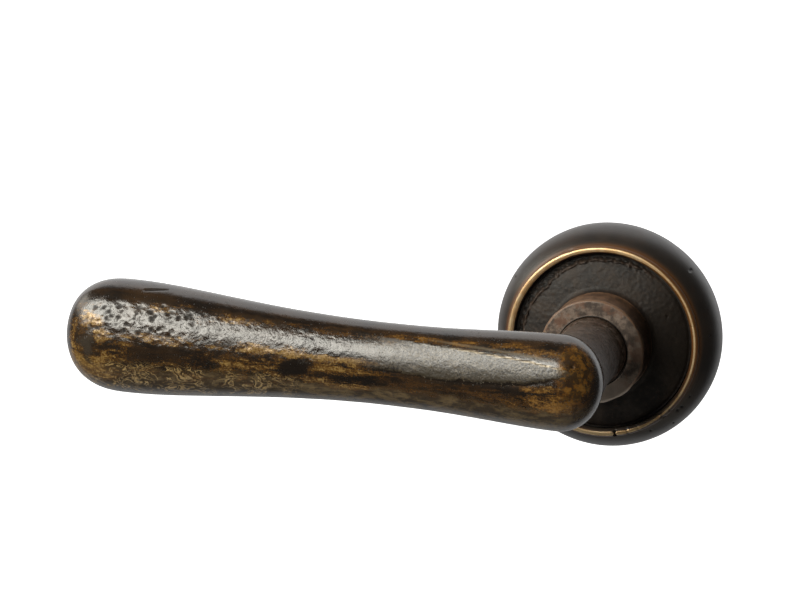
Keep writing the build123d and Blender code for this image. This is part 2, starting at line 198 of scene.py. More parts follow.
def tube(name, verts, segments, closed=False):
    """Solid from rows of vertices that go round: flat ends, or closed with last row on first."""
    rows = len(verts) // segments
    faces = []
    for i in range(rows if closed else rows - 1):
        low, high = i * segments, ((i + 1) % rows) * segments
        for j in range(segments):
            k = (j + 1) % segments
            faces.append((low + j, low + k, high + k, high + j))
    if not closed:
        faces += [tuple(range(segments)), tuple(range(len(verts) - segments, len(verts)))]
    obj = mesh_object(name, verts, faces)
    face_outward(obj)
    return obj


def around_axis(p):
    """Columns of points in mm: x, out, z, radius from the door axis and degrees round it."""
    x, out, z = p[:, 0], -p[:, 1], p[:, 2]
    return x, out, z, np.hypot(x, z), np.degrees(np.arctan2(z, x))


def section(node, angle):
    """Ordered (radius, out) mm of a turned CAD node's outline, cut where the angle says."""
    bm = bmesh.new()
    bm.from_mesh(NODES[node].data)
    bmesh.ops.remove_doubles(bm, verts=bm.verts, dist=1e-6)
    along = Vector((math.cos(angle), 0.0, math.sin(angle)))
    across = Vector((-math.sin(angle), 0.0, math.cos(angle)))
    ringed = np.array([(math.hypot(v.co.x, v.co.z), -v.co.y) for v in bm.verts]) / MM
    cut = bmesh.ops.bisect_plane(
        bm, geom=[*bm.verts, *bm.edges, *bm.faces], dist=1e-7, plane_co=(0, 0, 0), plane_no=across
    )["geom_cut"]
    edges = [
        e
        for e in cut
        if isinstance(e, bmesh.types.BMEdge) and all(v.co.dot(along) > 0 for v in e.verts)
    ]
    links = {}
    for e in edges:
        for v, w in (e.verts, reversed(e.verts)):
            links.setdefault(v, []).append(w)
    start = next(iter(links))
    path, previous, here = [start], None, start
    while True:
        onward = [w for w in links[here] if w is not previous]
        previous, here = here, onward[0]
        if here is start:
            break
        path.append(here)
    outline = []
    for v in path:
        point = np.array((v.co.dot(along), -v.co.y)) / MM
        gap = np.hypot(*(ringed - point).T)
        exact = ringed[gap.argmin()] if gap.min() < 0.06 else point
        if not outline or np.hypot(*(exact - outline[-1])) > 1e-4:
            outline.append(exact)
    bm.free()
    return np.array(outline)


# an outline keeps its corners where it turns this much, or at the end of a straight this long
CORNER_DEGREES, STRAIGHT_MM = 31.0, 2.2


def smooth_outline(outline, step_at):
    """Closed outline resampled at step_at(radius, out) mm, curved between its corners."""
    n = len(outline)
    before, after = outline - np.roll(outline, 1, 0), np.roll(outline, -1, 0) - outline
    cross = before[:, 0] * after[:, 1] - before[:, 1] * after[:, 0]
    turn = np.degrees(np.abs(np.arctan2(cross, (before * after).sum(1))))
    long = np.hypot(*before.T)
    beside_long = np.maximum(long, np.roll(long, -1)) > STRAIGHT_MM
    sharp = (turn > CORNER_DEGREES) | ((turn > 1.0) & beside_long)
    first = int(np.argmax(sharp))
    made = []
    for i in range(n):
        a, b = outline[(first + i) % n], outline[(first + i + 1) % n]
        a_sharp, b_sharp = sharp[(first + i) % n], sharp[(first + i + 1) % n]
        chord = b - a
        length = np.hypot(*chord)
        back = chord if a_sharp else (b - outline[(first + i - 1) % n])
        fore = chord if b_sharp else (outline[(first + i + 2) % n] - a)
        if not a_sharp:
            back = back / np.hypot(*back) * length
        if not b_sharp:
            fore = fore / np.hypot(*fore) * length
        parts = max(1, int(math.ceil(length / step_at(*((a + b) / 2)))))
        for t in np.arange(parts) / parts:
            u = 1 - t
            ends = a * u * u * (1 + 2 * t) + b * t * t * (3 - 2 * t)
            made.append(ends + back * t * u * u - fore * t * t * u)
    return np.array(made)


# ---------------------------------------------------------------- materials
class Nodes:
    """A node tree. Each call adds a node and gives back its output socket."""

    def __init__(self, tree):
        self.tree = tree

    def node(self, kind, values=(), **settings):
        made = self.tree.nodes.new(kind)
        for key, value in settings.items():
            setattr(made, key, value)
        for key, value in dict(values).items():
            self.put(made.inputs[key], value)
        return made

    def put(self, socket, value):
        if isinstance(value, bpy.types.NodeSocket):
            self.tree.links.new(value, socket)
        else:
            socket.default_value = value

    def math(self, what, a, b=0.0):
        return self.node("ShaderNodeMath", {0: a, 1: b}, operation=what).outputs[0]

    def times(self, *values):
        return reduce(lambda a, b: self.math("MULTIPLY", a, b), values)

    def plus(self, *values):
        return reduce(lambda a, b: self.math("ADD", a, b), values)

    def less(self, a, b):
        return self.math("SUBTRACT", a, b)

    def most(self, a, b):
        return self.math("MAXIMUM", a, b)

    def step(self, value, low, high, bottom=0.0, top=1.0):
        """bottom where value is low, top where it is high, smooth between."""
        values = {"Value": value, 1: low, 2: high, 3: bottom, 4: top}
        return self.node(
            "ShaderNodeMapRange", values, interpolation_type="SMOOTHSTEP"
        ).outputs[0]

    def blend(self, share, a, b):
        """Number a where share is 0, number b where it is 1."""
        made = self.node("ShaderNodeMix", data_type="FLOAT")
        for socket, value in zip((made.inputs[0], made.inputs[2], made.inputs[3]), (share, a, b)):
            self.put(socket, value)
        return made.outputs[0]

    def near(self, value, centre, width):
        """1 where value is centre, 0 at width away."""
        away = self.math("ABSOLUTE", self.less(value, centre))
        return self.step(away, width, 0.0)


class Finish(Nodes):
    """A procedural material, in millimetres in the object's own frame, built up in coats."""

    def __init__(self, name):
        self.material = bpy.data.materials.new(name)
        self.material.use_nodes = True
        super().__init__(self.material.node_tree)
        self.shader = self.tree.nodes["Principled BSDF"]
        self.place = self.node("ShaderNodeTexCoord").outputs["Object"]

    def stretch(self, x, y, z):
        """Place with each axis scaled, so that 0.2 makes features 5 times as long."""
        made = self.node("ShaderNodeMapping", {0: self.place})
        made.inputs["Scale"].default_value = (x, y, z)
        return made.outputs[0]

    def noise(self, size, detail=3.0, rough=0.55, bend=0.0, at=None):
        """Noise with features of about size mm, 0 to 1."""
        values = {"Detail": detail, "Roughness": rough, "Distortion": bend}
        values |= {"Vector": at or self.place, "Scale": 1.0 / (size * MM)}
        return self.node("ShaderNodeTexNoise", values).outputs[0]

    def cells(self, size):
        """Distance to the nearest of points scattered about size mm apart, in cell sizes."""
        values = {"Vector": self.place, "Scale": 1.0 / (size * MM)}
        return self.node("ShaderNodeTexVoronoi", values).outputs["Distance"]

    def mark(self, name):
        return self.node("ShaderNodeAttribute", attribute_name=name).outputs["Fac"]

    def mix(self, share, a, b):
        """Colour a where share is 0, colour b where it is 1."""
        made = self.node("ShaderNodeMix", data_type="RGBA")
        self.put(made.inputs[0], share)
        for socket, value in ((made.inputs[6], a), (made.inputs[7], b)):
            self.put(socket, value if isinstance(value, bpy.types.NodeSocket) else (*value, 1.0))
        return made.outputs[2]

    def tones(self, value, low, high, a, b):
        """Colour a where value is low, colour b where it is high."""
        return self.mix(self.step(value, low, high), a, b)

    def coat(self, tint, *shares):
        """Lays a colour over the one that is there, as far as the product of the shares."""
        self.colour = self.mix(self.times(*shares), self.colour, tint)

    def bump(self, height, depth, under=None):
        """Relief of depth mm between height 0 and 1, over another relief if given."""
        made = self.node("ShaderNodeBump", {"Height": height, "Distance": depth * MM})
        made.inputs["Strength"].default_value = 1.0
        if under is not None:
            self.put(made.inputs["Normal"], under)
        return made.outputs[0]

    def done(self, metal, rough, relief, ior=1.5):
        """The finished material, with the colour that the coats have made."""
        values = {"Base Color": self.colour, "Metallic": metal, "Roughness": rough}
        for key, value in (*values.items(), ("Normal", relief)):
            self.put(self.shader.inputs[key], value)
        self.shader.inputs["IOR"].default_value = ior
        return self.material


def dress(obj, material, body=None, replaces=None):
    obj.data.materials.clear()
    obj.data.materials.append(material)
    if body:
        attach(obj, body)
    if replaces:
        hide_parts(replaces)
    return obj


# ---------------------------------------------------------------- palette, linear
BLACK_BROWN = (0.0135, 0.0090, 0.0058)
DARK_BROWN = (0.040, 0.0225, 0.0100)
WARM_BROWN = (0.100, 0.046, 0.0130)
MOSS, DARK_MOSS = (0.235, 0.150, 0.052), (0.062, 0.038, 0.015)
AMBER, DARK_AMBER = (0.170, 0.076, 0.010), (0.095, 0.042, 0.008)
WORN_GOLD = (0.520, 0.325, 0.105)


# ---------------------------------------------------------------- lever
GRIP_OUT = 53.3
FLATTEN = 0.78
SWELL_AT = 97.0
TIP_POWER = 2.4
NECK_R, FLARE_FROM, FLARE_TO, FLARE_R = 7.8, 38.0, 52.5, 8.5
FILLET = 4.5
JOURNAL_R, JOURNAL_END, SHOULDER = 7.0, 3.4, 18.65
GROOVE_LOW, GROOVE_HIGH, GROOVE_R = 4.57, 5.63, 6.7
SOCKET, SOCKET_END = 8.1, 34.5
GRUB_OUT, GRUB_R = 28.0, 2.5
LEVER_SEGMENTS, JOURNAL_SEGMENTS, GRUB_SEGMENTS = 120, 128, 48
LEVER_NET = 0.36

lever_low, lever_high = (np.array(c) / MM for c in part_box("lever"))
ELBOW_LENGTH = lever_high[0]
TIP_LENGTH = -lever_low[0] - SWELL_AT
lever_tree = BVHTree.FromObject(NODES["lever"], bpy.context.evaluated_depsgraph_get())
stations = np.linspace(-SWELL_AT, 0.0, 19)
up_axis = Vector((0, 0, 1))
radii = [
    lever_tree.ray_cast(Vector((x, -GRIP_OUT, 0.0)) * MM, up_axis)[3] / MM for x in stations
]
SWELL_R, ELBOW_R = radii[0], radii[-1]
grip_radius = spline_through(stations, radii)


def neck_radius(out):
    """Radius of the neck in mm, straight and then flared as an arc towards the grip."""
    bend = ((FLARE_R - NECK_R) ** 2 + (FLARE_TO - FLARE_FROM) ** 2) / (2 * (FLARE_R - NECK_R))
    rise = np.clip(out - FLARE_FROM, 0.0, FLARE_TO - FLARE_FROM)
    return NECK_R + bend - np.sqrt(bend**2 - rise**2)


def smooth_lever(p):
    """Signed depth in mm of points above the smooth casting: grip and neck with a fillet."""
    x, out, z = p[:, 0], -p[:, 1], p[:, 2]
    q = np.hypot(z, (out - GRIP_OUT) / FLATTEN)
    body = q - grip_radius(np.clip(x, -SWELL_AT, 0.0))
    t = np.clip((-SWELL_AT - x) / TIP_LENGTH, 0.0, None)
    tip = SWELL_R * ((t**TIP_POWER + (q / SWELL_R) ** TIP_POWER) ** (1 / TIP_POWER) - 1.0)
    elbow = ELBOW_R * (np.hypot(np.clip(x, 0.0, None) / ELBOW_LENGTH, q / ELBOW_R) - 1.0)
    grip = np.where(x < -SWELL_AT, tip, np.where(x > 0.0, elbow, body))
    squeeze = np.hypot(z, (out - GRIP_OUT) / FLATTEN**2) / np.maximum(q, 1e-6)
    grip = grip / np.where(squeeze > 0, np.maximum(squeeze, 1.0), 1.0)
    neck = np.maximum(np.hypot(x, z) - neck_radius(out), out - GRIP_OUT)
    # the fillet is full in the crotch behind the grip and small round the outside of the elbow
    fillet = FILLET * (0.10 + 0.90 * ramp(x, -1.0, -6.0) * ramp(out, 51.0, 47.0))
    h = np.clip(0.5 + 0.5 * (neck - grip) / fillet, 0.0, 1.0)
    return neck * (1 - h) + grip * h - fillet * h * (1 - h)


def gradient(f, p, e=0.02):
    """Unit direction in which f grows at each point, and how fast it grows."""
    g = np.stack([(f(p + d) - f(p - d)) / (2 * e) for d in np.eye(3) * e], 1)
    size = np.linalg.norm(g, axis=1)
    return g / np.maximum(size, 1e-9)[:, None], size


def grip_rows(segments):
    """Vertices, row by row, of the grip turned about its own length and flattened."""
    swing = np.radians(np.linspace(1.0, 90.0, 26))
    tip_x = -SWELL_AT - TIP_LENGTH * np.cos(swing) ** (2 / TIP_POWER)
    tip_r = SWELL_R * np.sin(swing) ** (2 / TIP_POWER)
    mid_x = np.linspace(-SWELL_AT, 0.0, 60)[1:]
    end = np.radians(np.linspace(3.0, 89.0, 20))
    xs = np.concatenate([tip_x, mid_x, ELBOW_LENGTH * np.sin(end)])
    rs = np.concatenate([tip_r, grip_radius(mid_x), ELBOW_R * np.cos(end)])
    turn = np.arange(segments) * (2 * math.pi / segments)
    verts = np.zeros((len(xs), segments, 3))
    verts[:, :, 0] = xs[:, None]
    verts[:, :, 1] = -GRIP_OUT + FLATTEN * rs[:, None] * np.cos(turn)
    verts[:, :, 2] = rs[:, None] * np.sin(turn)
    return verts.reshape(-1, 3)


def block(name, low, high):
    """Closed box between two corners, in mm, as a cutting tool."""
    corners = list(product(*zip(low, high)))
    faces = [(0, 1, 3, 2), (4, 6, 7, 5), (0, 4, 5, 1), (2, 3, 7, 6), (0, 2, 6, 4), (1, 5, 7, 3)]
    tool = mesh_object(name, corners, faces)
    face_outward(tool)
    return tool


def make_lever():
    """Grip and neck as one casting, with its journal, spindle socket and grub screw's hole."""
    casting = tube("lever_casting", grip_rows(LEVER_SEGMENTS), LEVER_SEGMENTS)
    outs = np.linspace(SHOULDER, GRIP_OUT, 40)
    neck = turned(np.stack([neck_radius(outs), outs], 1), LEVER_SEGMENTS)
    neck = tube("neck", neck, LEVER_SEGMENTS)
    combine(casting, neck, "UNION")
    net = casting.modifiers.new("net", "REMESH")
    net.mode = "VOXEL"
    net.voxel_size = LEVER_NET * MM
    bake(casting)
    # the net's vertices are drawn onto the exact shape, in steps, away from the machined shoulder
    p = points_mm(casting.data)
    free = ramp(-p[:, 1], SHOULDER + 0.9, SHOULDER + 1.6)[:, None]
    for _ in range(4):
        normal, size = gradient(smooth_lever, p)
        p = p - free * normal * (smooth_lever(p) / np.maximum(size, 0.3))[:, None]
    set_points(casting.data, p)

    stub = [
        (JOURNAL_R - 0.4, JOURNAL_END),
        (JOURNAL_R, JOURNAL_END + 0.4),
        (JOURNAL_R, GROOVE_LOW),
        (GROOVE_R, GROOVE_LOW),
        (GROOVE_R, GROOVE_HIGH),
        (JOURNAL_R, GROOVE_HIGH),
        (JOURNAL_R, SHOULDER + 3.0),
    ]
    stub = turned(stub, JOURNAL_SEGMENTS)
    combine(casting, tube("journal", stub, JOURNAL_SEGMENTS), "UNION")
    half = SOCKET / 2
    socket = block("socket", (-half, -SOCKET_END, -half), (half, 0.0, half))
    combine(casting, socket, "DIFFERENCE")
    turn = np.arange(GRUB_SEGMENTS) * (2 * math.pi / GRUB_SEGMENTS)
    ring = np.stack([GRUB_R * np.cos(turn), -GRUB_OUT + GRUB_R * np.sin(turn)], 1)
    ends = (-NECK_R - 3.0, 0.0)
    rows = np.concatenate([np.column_stack([ring, np.full(len(ring), z)]) for z in ends])
    combine(casting, tube("drill", rows, GRUB_SEGMENTS), "DIFFERENCE")
    return casting


# The worn patches of the grip. Each is a share rubbed through to gold, then the stretch of the
# grip in mm with how softly it ends, then the degrees round it with how softly they end.
GOLD_PATCHES = (
    (0.36, (-92, -47, 8), (37, 53, 8)),
    (0.36, (-47, 3, 6), (38, 56, 8)),
    (0.90, (-68, -38, 6), (3, 17, 8)),
    (0.56, (-95, -66, 6), (3, 15, 8)),
    (0.56, (-76, -57, 6), (-22, 7, 10)),
    (0.62, (-53, -38, 6), (-14, 3, 9)),
    (0.12, (-40, -3, 6), (-30, -6, 9)),
    (0.46, (-108, -93, 5), (-24, 14, 9)),
    (0.58, (-108, -95, 5), (-46, -18, 9)),
    (0.62, (-7, 5, 5), (-32, 6, 9)),
    (0.28, (-95, -60, 6), (-40, -6, 9)),
    (0.34, (-60, -38, 6), (-34, -12, 9)),
)
BACK_GOLD = 0.24
# the filed flat's upper and lower edges: place along the grip in mm, degrees round it
FLAT_TOP = ([-45, -35, -28, -20.5, -12, -5, 2.4, 5], [56, 50, 46, 41, 35.5, 31, 25, 20])
FLAT_FOOT = ([-43, -35, -24, -17, -5.5, 2, 4], [4, 2.5, -2.5, 0, 5, 17, 20])
KNOCK = np.array(((-91.2, -57.2, 11.3), (-86.6, -56.0, 12.0)))  # across the top of the swell
# single pinholes: centre, size, depth
PINHOLES = (
    ((3.7, -59.7, 5.1), 0.36, 0.42),
    ((-97.5, -61.5, 4.4), 0.45, 0.36),
    ((-20.5, -60.4, 5.4), 0.30, 0.30),
    ((-86.0, -60.0, 9.0), 0.42, 0.22),
    ((-79.5, -60.3, 7.8), 0.36, 0.22),
)
PORE_DEPTH = 0.15


def lever_surface(casting):
    """Hand work and casting skin: moves the vertices inward and marks how the metal is worn and
    where shade, glints and a dark reflection are painted.
    """
    mesh = casting.data
    p = points_mm(mesh)
    x, out, z = p.T * np.array([[1], [-1], [1]])
    level = smooth_lever(p)
    normal, _ = gradient(smooth_lever, p)
    skin = (np.abs(level) < 0.05) & (out > SHOULDER + 2.2)
    near_grub = np.hypot(x, out - GRUB_OUT) < GRUB_R + 0.15
    skin &= ~(near_grub & (z < 0))
    # degrees round the grip: 0 faces the hand, 90 is up
    around = np.degrees(np.arctan2(z, (out - GRIP_OUT) / FLATTEN))
    front = ramp(out, GRIP_OUT - 5, GRIP_OUT - 1)
    on_grip = ramp(out, 43.0, 48.0)
    along = p * np.array([0.2, 1, 1])
    drift = 6.0 * grain(along, 3.5, 11) + 4.0 * grain(p, 2.2, 12)
    lay = around + drift
    run = x + 3.0 * grain(p, 4.0, 13)

    def zone(x_low, x_high, x_soft, low, high, soft):
        """Share of a patch between two places along the grip and two angles round it."""
        return band(run, x_low, x_high, x_soft) * band(lay, low, high, soft) * front

    # filed flat from the waist to the elbow, with an arris above it and a step below
    top_edge, low_edge = np.interp(x, *FLAT_TOP), np.interp(x, *FLAT_FOOT)
    radius = np.hypot(z, out - GRIP_OUT)
    middle, spread = (top_edge + low_edge) / 2, np.maximum((top_edge - low_edge) / 2, 0.5)
    inside = np.abs(around - middle) < spread
    lean = np.radians(np.clip(around - middle, -60, 60))
    chord = radius * (np.cos(np.radians(spread)) / np.cos(lean))
    flat = 0.45 * np.where(inside, np.maximum(radius - chord, 0.0), 0.0)
    along_flat = ramp(x, -46, -26) * ramp(x, 4.5, 0.5)
    flat *= along_flat
    # the step drops away just below the flat
    below = np.clip(low_edge - around, 0, None)
    step_down = 0.14 * np.exp(-((below / 5.0) ** 2)) * (around < low_edge)
    step_down *= ramp(x, -40, -30) * ramp(x, 2, -3) * front
    facet = inside * along_flat * front

    sway = 0.5 + 0.5 * grain(p * np.array([0.35, 1, 1]), 8.0, 1)
    hammer = 0.5 + 0.5 * grain(p * np.array([0.7, 1, 1]), 3.0, 2)
    small = 0.5 + 0.5 * grain(p, 1.2, 3)

    # open pores of the casting, coarse at the swell and finer towards the waist
    warp = p + 0.4 * np.stack([grain(p, 1.2, s) for s in (4, 5, 6)], 1)
    coarse = cells(warp * np.array([0.85, 1, 1]), 1.4, 7)
    fine = cells(warp * np.array([0.85, 1, 1]), 0.95, 8)
    patchy = grain(p, 4.0, 9)
    pore_zone = band(around, 8, 44, 7) * ramp(x, -70, -82) * ramp(-x, 106, 99) * front
    scatter_zone = band(around, -2, 48, 8) * ramp(x, -36, -52) * ramp(-x, 107, 100) * front
    pore = ramp(coarse[:, 0], 0.46, 0.26) * ramp(patchy + 1.4 * pore_zone, 0.70, 0.9)
    speck = ramp(fine[:, 0], 0.33, 0.18) * ramp(patchy + 1.1 * scatter_zone, 0.7, 1.0)
    pits = np.maximum(pore * pore_zone, 0.55 * speck * np.maximum(scatter_zone, 0.2 * facet))
    knock = KNOCK[1] - KNOCK[0]
    share = np.clip((p - KNOCK[0]) @ knock / (knock @ knock), 0, 1)[:, None]
    gap = np.linalg.norm(p - KNOCK[0] - share * knock, axis=1)
    pits = np.maximum(pits, ramp(gap, 0.55, 0.15))
    for centre, size, depth in PINHOLES:
        gap = np.linalg.norm(p - np.array(centre), axis=1)
        pits = np.maximum(pits, ramp(gap, size * 1.6, size * 0.6) * depth / PORE_DEPTH)
    ridges = grain(warp, 1.4, 10) * (0.15 * pore_zone + 0.09 * scatter_zone + 0.035 * facet)
    ridges += grain(warp, 0.8, 15) * (0.045 * pore_zone + 0.05 * scatter_zone + 0.022 * facet)

    sink = flat + step_down + 0.08 * sway * on_grip + 0.035 * hammer + 0.02 * small
    sink += PORE_DEPTH * pits + 0.07 * (pore_zone + 0.6 * scatter_zone) - ridges * 0.6
    # the neck is left as cast, with a collar where it comes out of the boss
    cast_neck = ramp(out, 42, 36) * ramp(out, 23.0, 24.4)
    collar = ramp(out, 24.2 + 0.3 * grain(p, 2.0, 16), 25.0)
    neck_skin = 0.13 * (1 + grain(p, 1.9, 17)) + 0.05 * (1 + grain(p, 0.8, 18))
    sink += cast_neck * (0.34 * collar + neck_skin)
    p[skin] -= normal[skin] * np.maximum(sink, 0.01)[skin, None]
    set_points(mesh, p)

    # bare metal, by how much of each patch is rubbed through
    gold = BACK_GOLD * (1 - front) * on_grip
    for share, stretch, turn in GOLD_PATCHES:
        gold = np.maximum(gold, share * zone(*stretch, *turn))
    elbow = ramp(np.linalg.norm((p - (4.2, -59.4, 4.0)) * (1.3, 1, 0.66), axis=1), 6.6, 2.6)
    gold = np.maximum(gold, 0.85 * elbow * front)
    tip_centre = np.hypot(0.5 * (run + x) + 102.0, (z + 0.6 + 0.08 * drift) / 1.5)
    tip_dark = ramp(tip_centre + 1.5 * grain(p, 1.7, 19), 4.0, 0.4) * front
    tip_warm = ramp(tip_centre, 8.0, 3.0) * front * (1 - tip_dark)
    gold = np.maximum(gold, 0.68 * tip_warm)
    spot = np.hypot((x + 55.8) / 2.0, z + 1.1 - 0.22 * (x + 55.8))
    black_spot = ramp(spot + 1.1 * grain(p * np.array([0.5, 1, 1]), 1.2, 14), 2.9, 0.4) * front
    # dark places: the black spot, dark patches below the highlight, and a painted dark reflection
    # in a line along the upper side of the grip
    dim = np.maximum.reduce([
        black_spot,
        0.75 * zone(-84, -42, 8, 56, 64, 3),
        0.22 * zone(-95, -71, 9, -19, 0, 10),
        0.40 * zone(-39, -3, 8, -18, -3, 9),
    ])
    # the bright arris over the flat, a fainter ridge above that, and the broken edge below with
    # painted glints
    arris_line = ramp(np.abs(around - top_edge + 0.3 * grain(along, 1.5, 20)), 1.35, 0.4)
    arris = arris_line * ramp(x, -26, -18) * ramp(x, 3.2, 1.6)
    second = ramp(np.abs(around - top_edge - 7.5), 2.6, 0.8) * ramp(x, -30, -20) * ramp(x, 1, -4)
    edge = ramp(np.abs(around - low_edge + 1.2), 2.2, 0.7) * ramp(x, -32, -27) * ramp(x, -2, -8)
    olive_tip, olive_waist = zone(-110, -58, 6, -80, -21, 6), zone(-62, 6, 8, -80, -27, 8)
    neck = ramp(out, 50, 46) * ramp(np.hypot(x, z), 14.0, 11.0)
    warm = np.maximum(zone(-60, 2, 6, 34, 60, 6), zone(-40, 5, 6, -32, 2, 6))
    flat_share = (around - low_edge) / (2 * spread)
    gold = gold * (1 - 0.95 * dim) * (1 - 0.9 * tip_dark) * (1 - neck)
    store(
        mesh,
        gold=gold * (1 - 0.7 * facet * (1 - arris)),
        olive=np.maximum(0.8 * olive_tip, 0.9 * olive_waist) * (1 - neck),
        warm=warm * (1 - facet),
        worms=band(around, -62, -18, 6) * ramp(x, -46, -66) * ramp(-x, 110, 106),
        pits=pits,
        neck=neck,
        # dark places, with the painted dark reflection along the upper side
        dim=dim,
        slate=tip_dark,
        grainy=np.maximum(scatter_zone, 0.8 * facet),
        arris=np.maximum(arris, 0.30 * second * front),
        edge=edge * front,
        facet=facet,
        # painted shade on the lower part of the filed flat
        facet_foot=facet * ramp(flat_share, 0.62, 0.10),
        elbow=elbow * front,
        machined=(~skin).astype(float),
    )


def lever_finish():
    """Old cast bronze: dark oxide and olive skin, rubbed through to gold where hands wear it."""
    f = Finish("cast_bronze_lever")
    gold, olive, warm, worms = (f.mark(n) for n in ("gold", "olive", "warm", "worms"))
    pits, neck, dim, arris = (f.mark(n) for n in ("pits", "neck", "dim", "arris"))
    edge, facet, elbow, machined = (f.mark(n) for n in ("edge", "facet", "elbow", "machined"))
    foot, slate, grainy = (f.mark(n) for n in ("facet_foot", "slate", "grainy"))
    streak = f.noise(1.5, 6, 0.66, 0.5, f.stretch(0.16, 1.0, 1.0))
    hair = f.noise(0.5, 3, 0.65, 0.0, f.stretch(0.22, 1.0, 1.0))
    blotch = f.noise(2.4, 6, 0.70, 0.4, f.stretch(0.55, 1.0, 1.0))
    fleck = f.noise(0.45, 4, 0.70)
    cloud = f.noise(9.0, 2, 0.5)

    # dark oxide, redder where it is thin
    speckle = f.times(f.less(f.plus(fleck, hair), 1.0), 0.5)
    f.colour = f.tones(f.plus(cloud, speckle), 0.32, 0.66, DARK_BROWN, BLACK_BROWN)
    thin = f.step(f.plus(streak, speckle), 0.40, 0.64)
    f.coat(WARM_BROWN, thin, f.plus(0.25, f.times(warm, 0.6)))

    # olive skin of the underside, with thin pale lines round the islands of oxide
    moss = f.tones(f.plus(blotch, speckle), 0.38, 0.60, MOSS, DARK_MOSS)
    f.coat(moss, olive, 0.85)
    islands = f.noise(2.5, 3, 0.55, 0.7, f.stretch(0.6, 1.0, 1.0))
    ragged = f.plus(islands, f.times(speckle, 0.10))
    line = f.most(f.near(ragged, 0.47, 0.034), f.times(f.near(ragged, 0.58, 0.030), 0.8))
    line = f.times(line, worms, f.step(f.noise(4.0, 3), 0.36, 0.50))
    crust = f.times(f.step(ragged, 0.47, 0.50), worms, 0.7)
    f.coat((0.060, 0.035, 0.012), crust)
    f.coat((0.55, 0.360, 0.130), line, 0.95)

    # rubbed through: coverage follows the mark, broken up by streaks and flecks
    height = f.plus(f.times(f.less(streak, 0.5), 1.7), f.times(f.less(blotch, 0.5), 1.5))
    small = f.plus(f.times(f.less(fleck, 0.5), 1.1), f.times(f.less(hair, 0.5), 1.1))
    bare = f.plus(height, small, gold)
    seen = f.step(gold, 0.02, 0.15)
    thinned = f.times(f.step(bare, 0.22, 0.52), seen)
    rubbed = f.times(f.step(bare, 0.48, 0.78), seen)
    amber = f.tones(f.plus(hair, speckle), 0.35, 0.65, AMBER, DARK_AMBER)
    bright = f.tones(f.plus(fleck, speckle), 0.38, 0.66, (0.270, 0.142, 0.030), WORN_GOLD)
    bright = f.mix(f.times(warm, 0.6), bright, (0.400, 0.165, 0.015))
    f.coat(amber, thinned, 0.85)
    f.coat(bright, rubbed, 0.9)

    # mustard and black patch on the elbow
    spots = f.step(f.plus(f.noise(1.7, 5, 0.68), f.times(speckle, 0.5)), 0.43, 0.56)
    mustard = f.mix(spots, (0.370, 0.148, 0.013), (0.110, 0.042, 0.004))
    f.coat(mustard, elbow, 0.62)
    f.coat((0.024, 0.013, 0.006), spots, elbow, 0.70)

    # filed flat: greyer and rougher, with painted shade at its foot, and a pale arris over it
    file_grey = f.tones(
        f.plus(fleck, speckle), 0.36, 0.66, (0.010, 0.008, 0.006), (0.185, 0.148, 0.098)
    )
    f.coat(file_grey, facet, 0.8)
    # painted shade on the lower part of the flat
    f.coat((0.052, 0.040, 0.024), foot, f.step(blotch, 0.35, 0.55))
    f.coat((0.52, 0.42, 0.28), arris, f.step(fleck, 0.15, 0.42))
    # dark line along the step below the flat, with painted glints of light on it
    f.coat(BLACK_BROWN, edge, 0.85)
    f.coat((0.42, 0.36, 0.27), edge, f.step(fleck, 0.60, 0.66))

    # black places, with a painted dark reflection along the upper side of the grip, and the grey
    # patch at the tip
    blur = f.less(blotch, 0.5)
    deep = f.step(f.plus(dim, f.times(blur, 0.9)), 0.15, 0.85)
    deep = f.times(deep, f.step(dim, 0.0, 0.25))
    f.coat(BLACK_BROWN, deep, 0.86)
    patch = f.times(slate, f.step(f.plus(slate, blur), 0.25, 0.85))
    grey = f.mix(fleck, (0.050, 0.043, 0.034), (0.105, 0.088, 0.066))
    f.coat(grey, patch, 0.55)

    # the neck as cast, pits and pockets, and the machined metal behind the rose
    stone = f.tones(f.noise(2.2, 5, 0.68), 0.40, 0.62, (0.135, 0.098, 0.076), (0.095, 0.052, 0.032))
    stone = f.tones(f.plus(f.noise(1.0, 5, 0.68), speckle), 0.44, 0.58, stone, DARK_BROWN)
    stone = f.tones(f.noise(1.6, 5, 0.65, 0.5), 0.60, 0.68, stone, (0.10, 0.038, 0.015))
    f.coat(stone, neck, 0.95)
    pocket = f.times(f.step(f.cells(0.7), 0.26, 0.10), f.step(f.noise(3.1, 2), 0.46, 0.60))
    f.coat(BLACK_BROWN, f.most(f.times(pits, 0.92), f.times(pocket, 0.8)))
    f.coat((0.36, 0.24, 0.11), machined)

    metal = f.most(f.plus(f.times(rubbed, 0.22), f.times(arris, 0.3)), machined)
    dull = f.most(f.times(foot, 0.85), f.most(neck, pits))
    f.put(f.shader.inputs["Specular IOR Level"], f.less(0.5, f.times(dull, 0.34)))
    gloss = f.plus(
        0.10,
        f.times(f.noise(1.8, 4, 0.65), 0.20),
        f.times(f.most(pits, pocket), 0.40),
        f.times(neck, 0.26),
        f.times(facet, 0.14),
        f.times(f.most(olive, f.times(gold, 0.7)), 0.16),
    )
    skin = f.plus(f.times(f.noise(0.5, 2, 0.55), 0.4), f.noise(1.1, 4, 0.62, 0.3))
    relief = f.bump(f.times(skin, f.plus(0.26, f.times(grainy, 0.74))), 0.13)
    relief = f.bump(f.plus(f.times(line, 0.5), f.times(islands, worms)), 0.04, relief)
    return f.done(metal, gloss, relief, 1.95)


lever_piece = make_lever()
lever_surface(lever_piece)
shade(lever_piece, 50.0)
dress(lever_piece, lever_finish(), "lever", "lever")


# ---------------------------------------------------------------- rose ring
SECTION_AT = math.radians(20)


def turned_piece(name, node, segments, step_at):
    """A turned CAD node rebuilt as a fine lathe, from its outline at one angle."""
    outline = smooth_outline(section(node, SECTION_AT), step_at)
    return tube(name, turned(outline, segments), segments, closed=True)


BEAD_R, BEAD_OUT, BEAD_REACH, BEAD_HALF = 21.2, 10.75, 1.05, 0.85
RING_SEGMENTS = 680
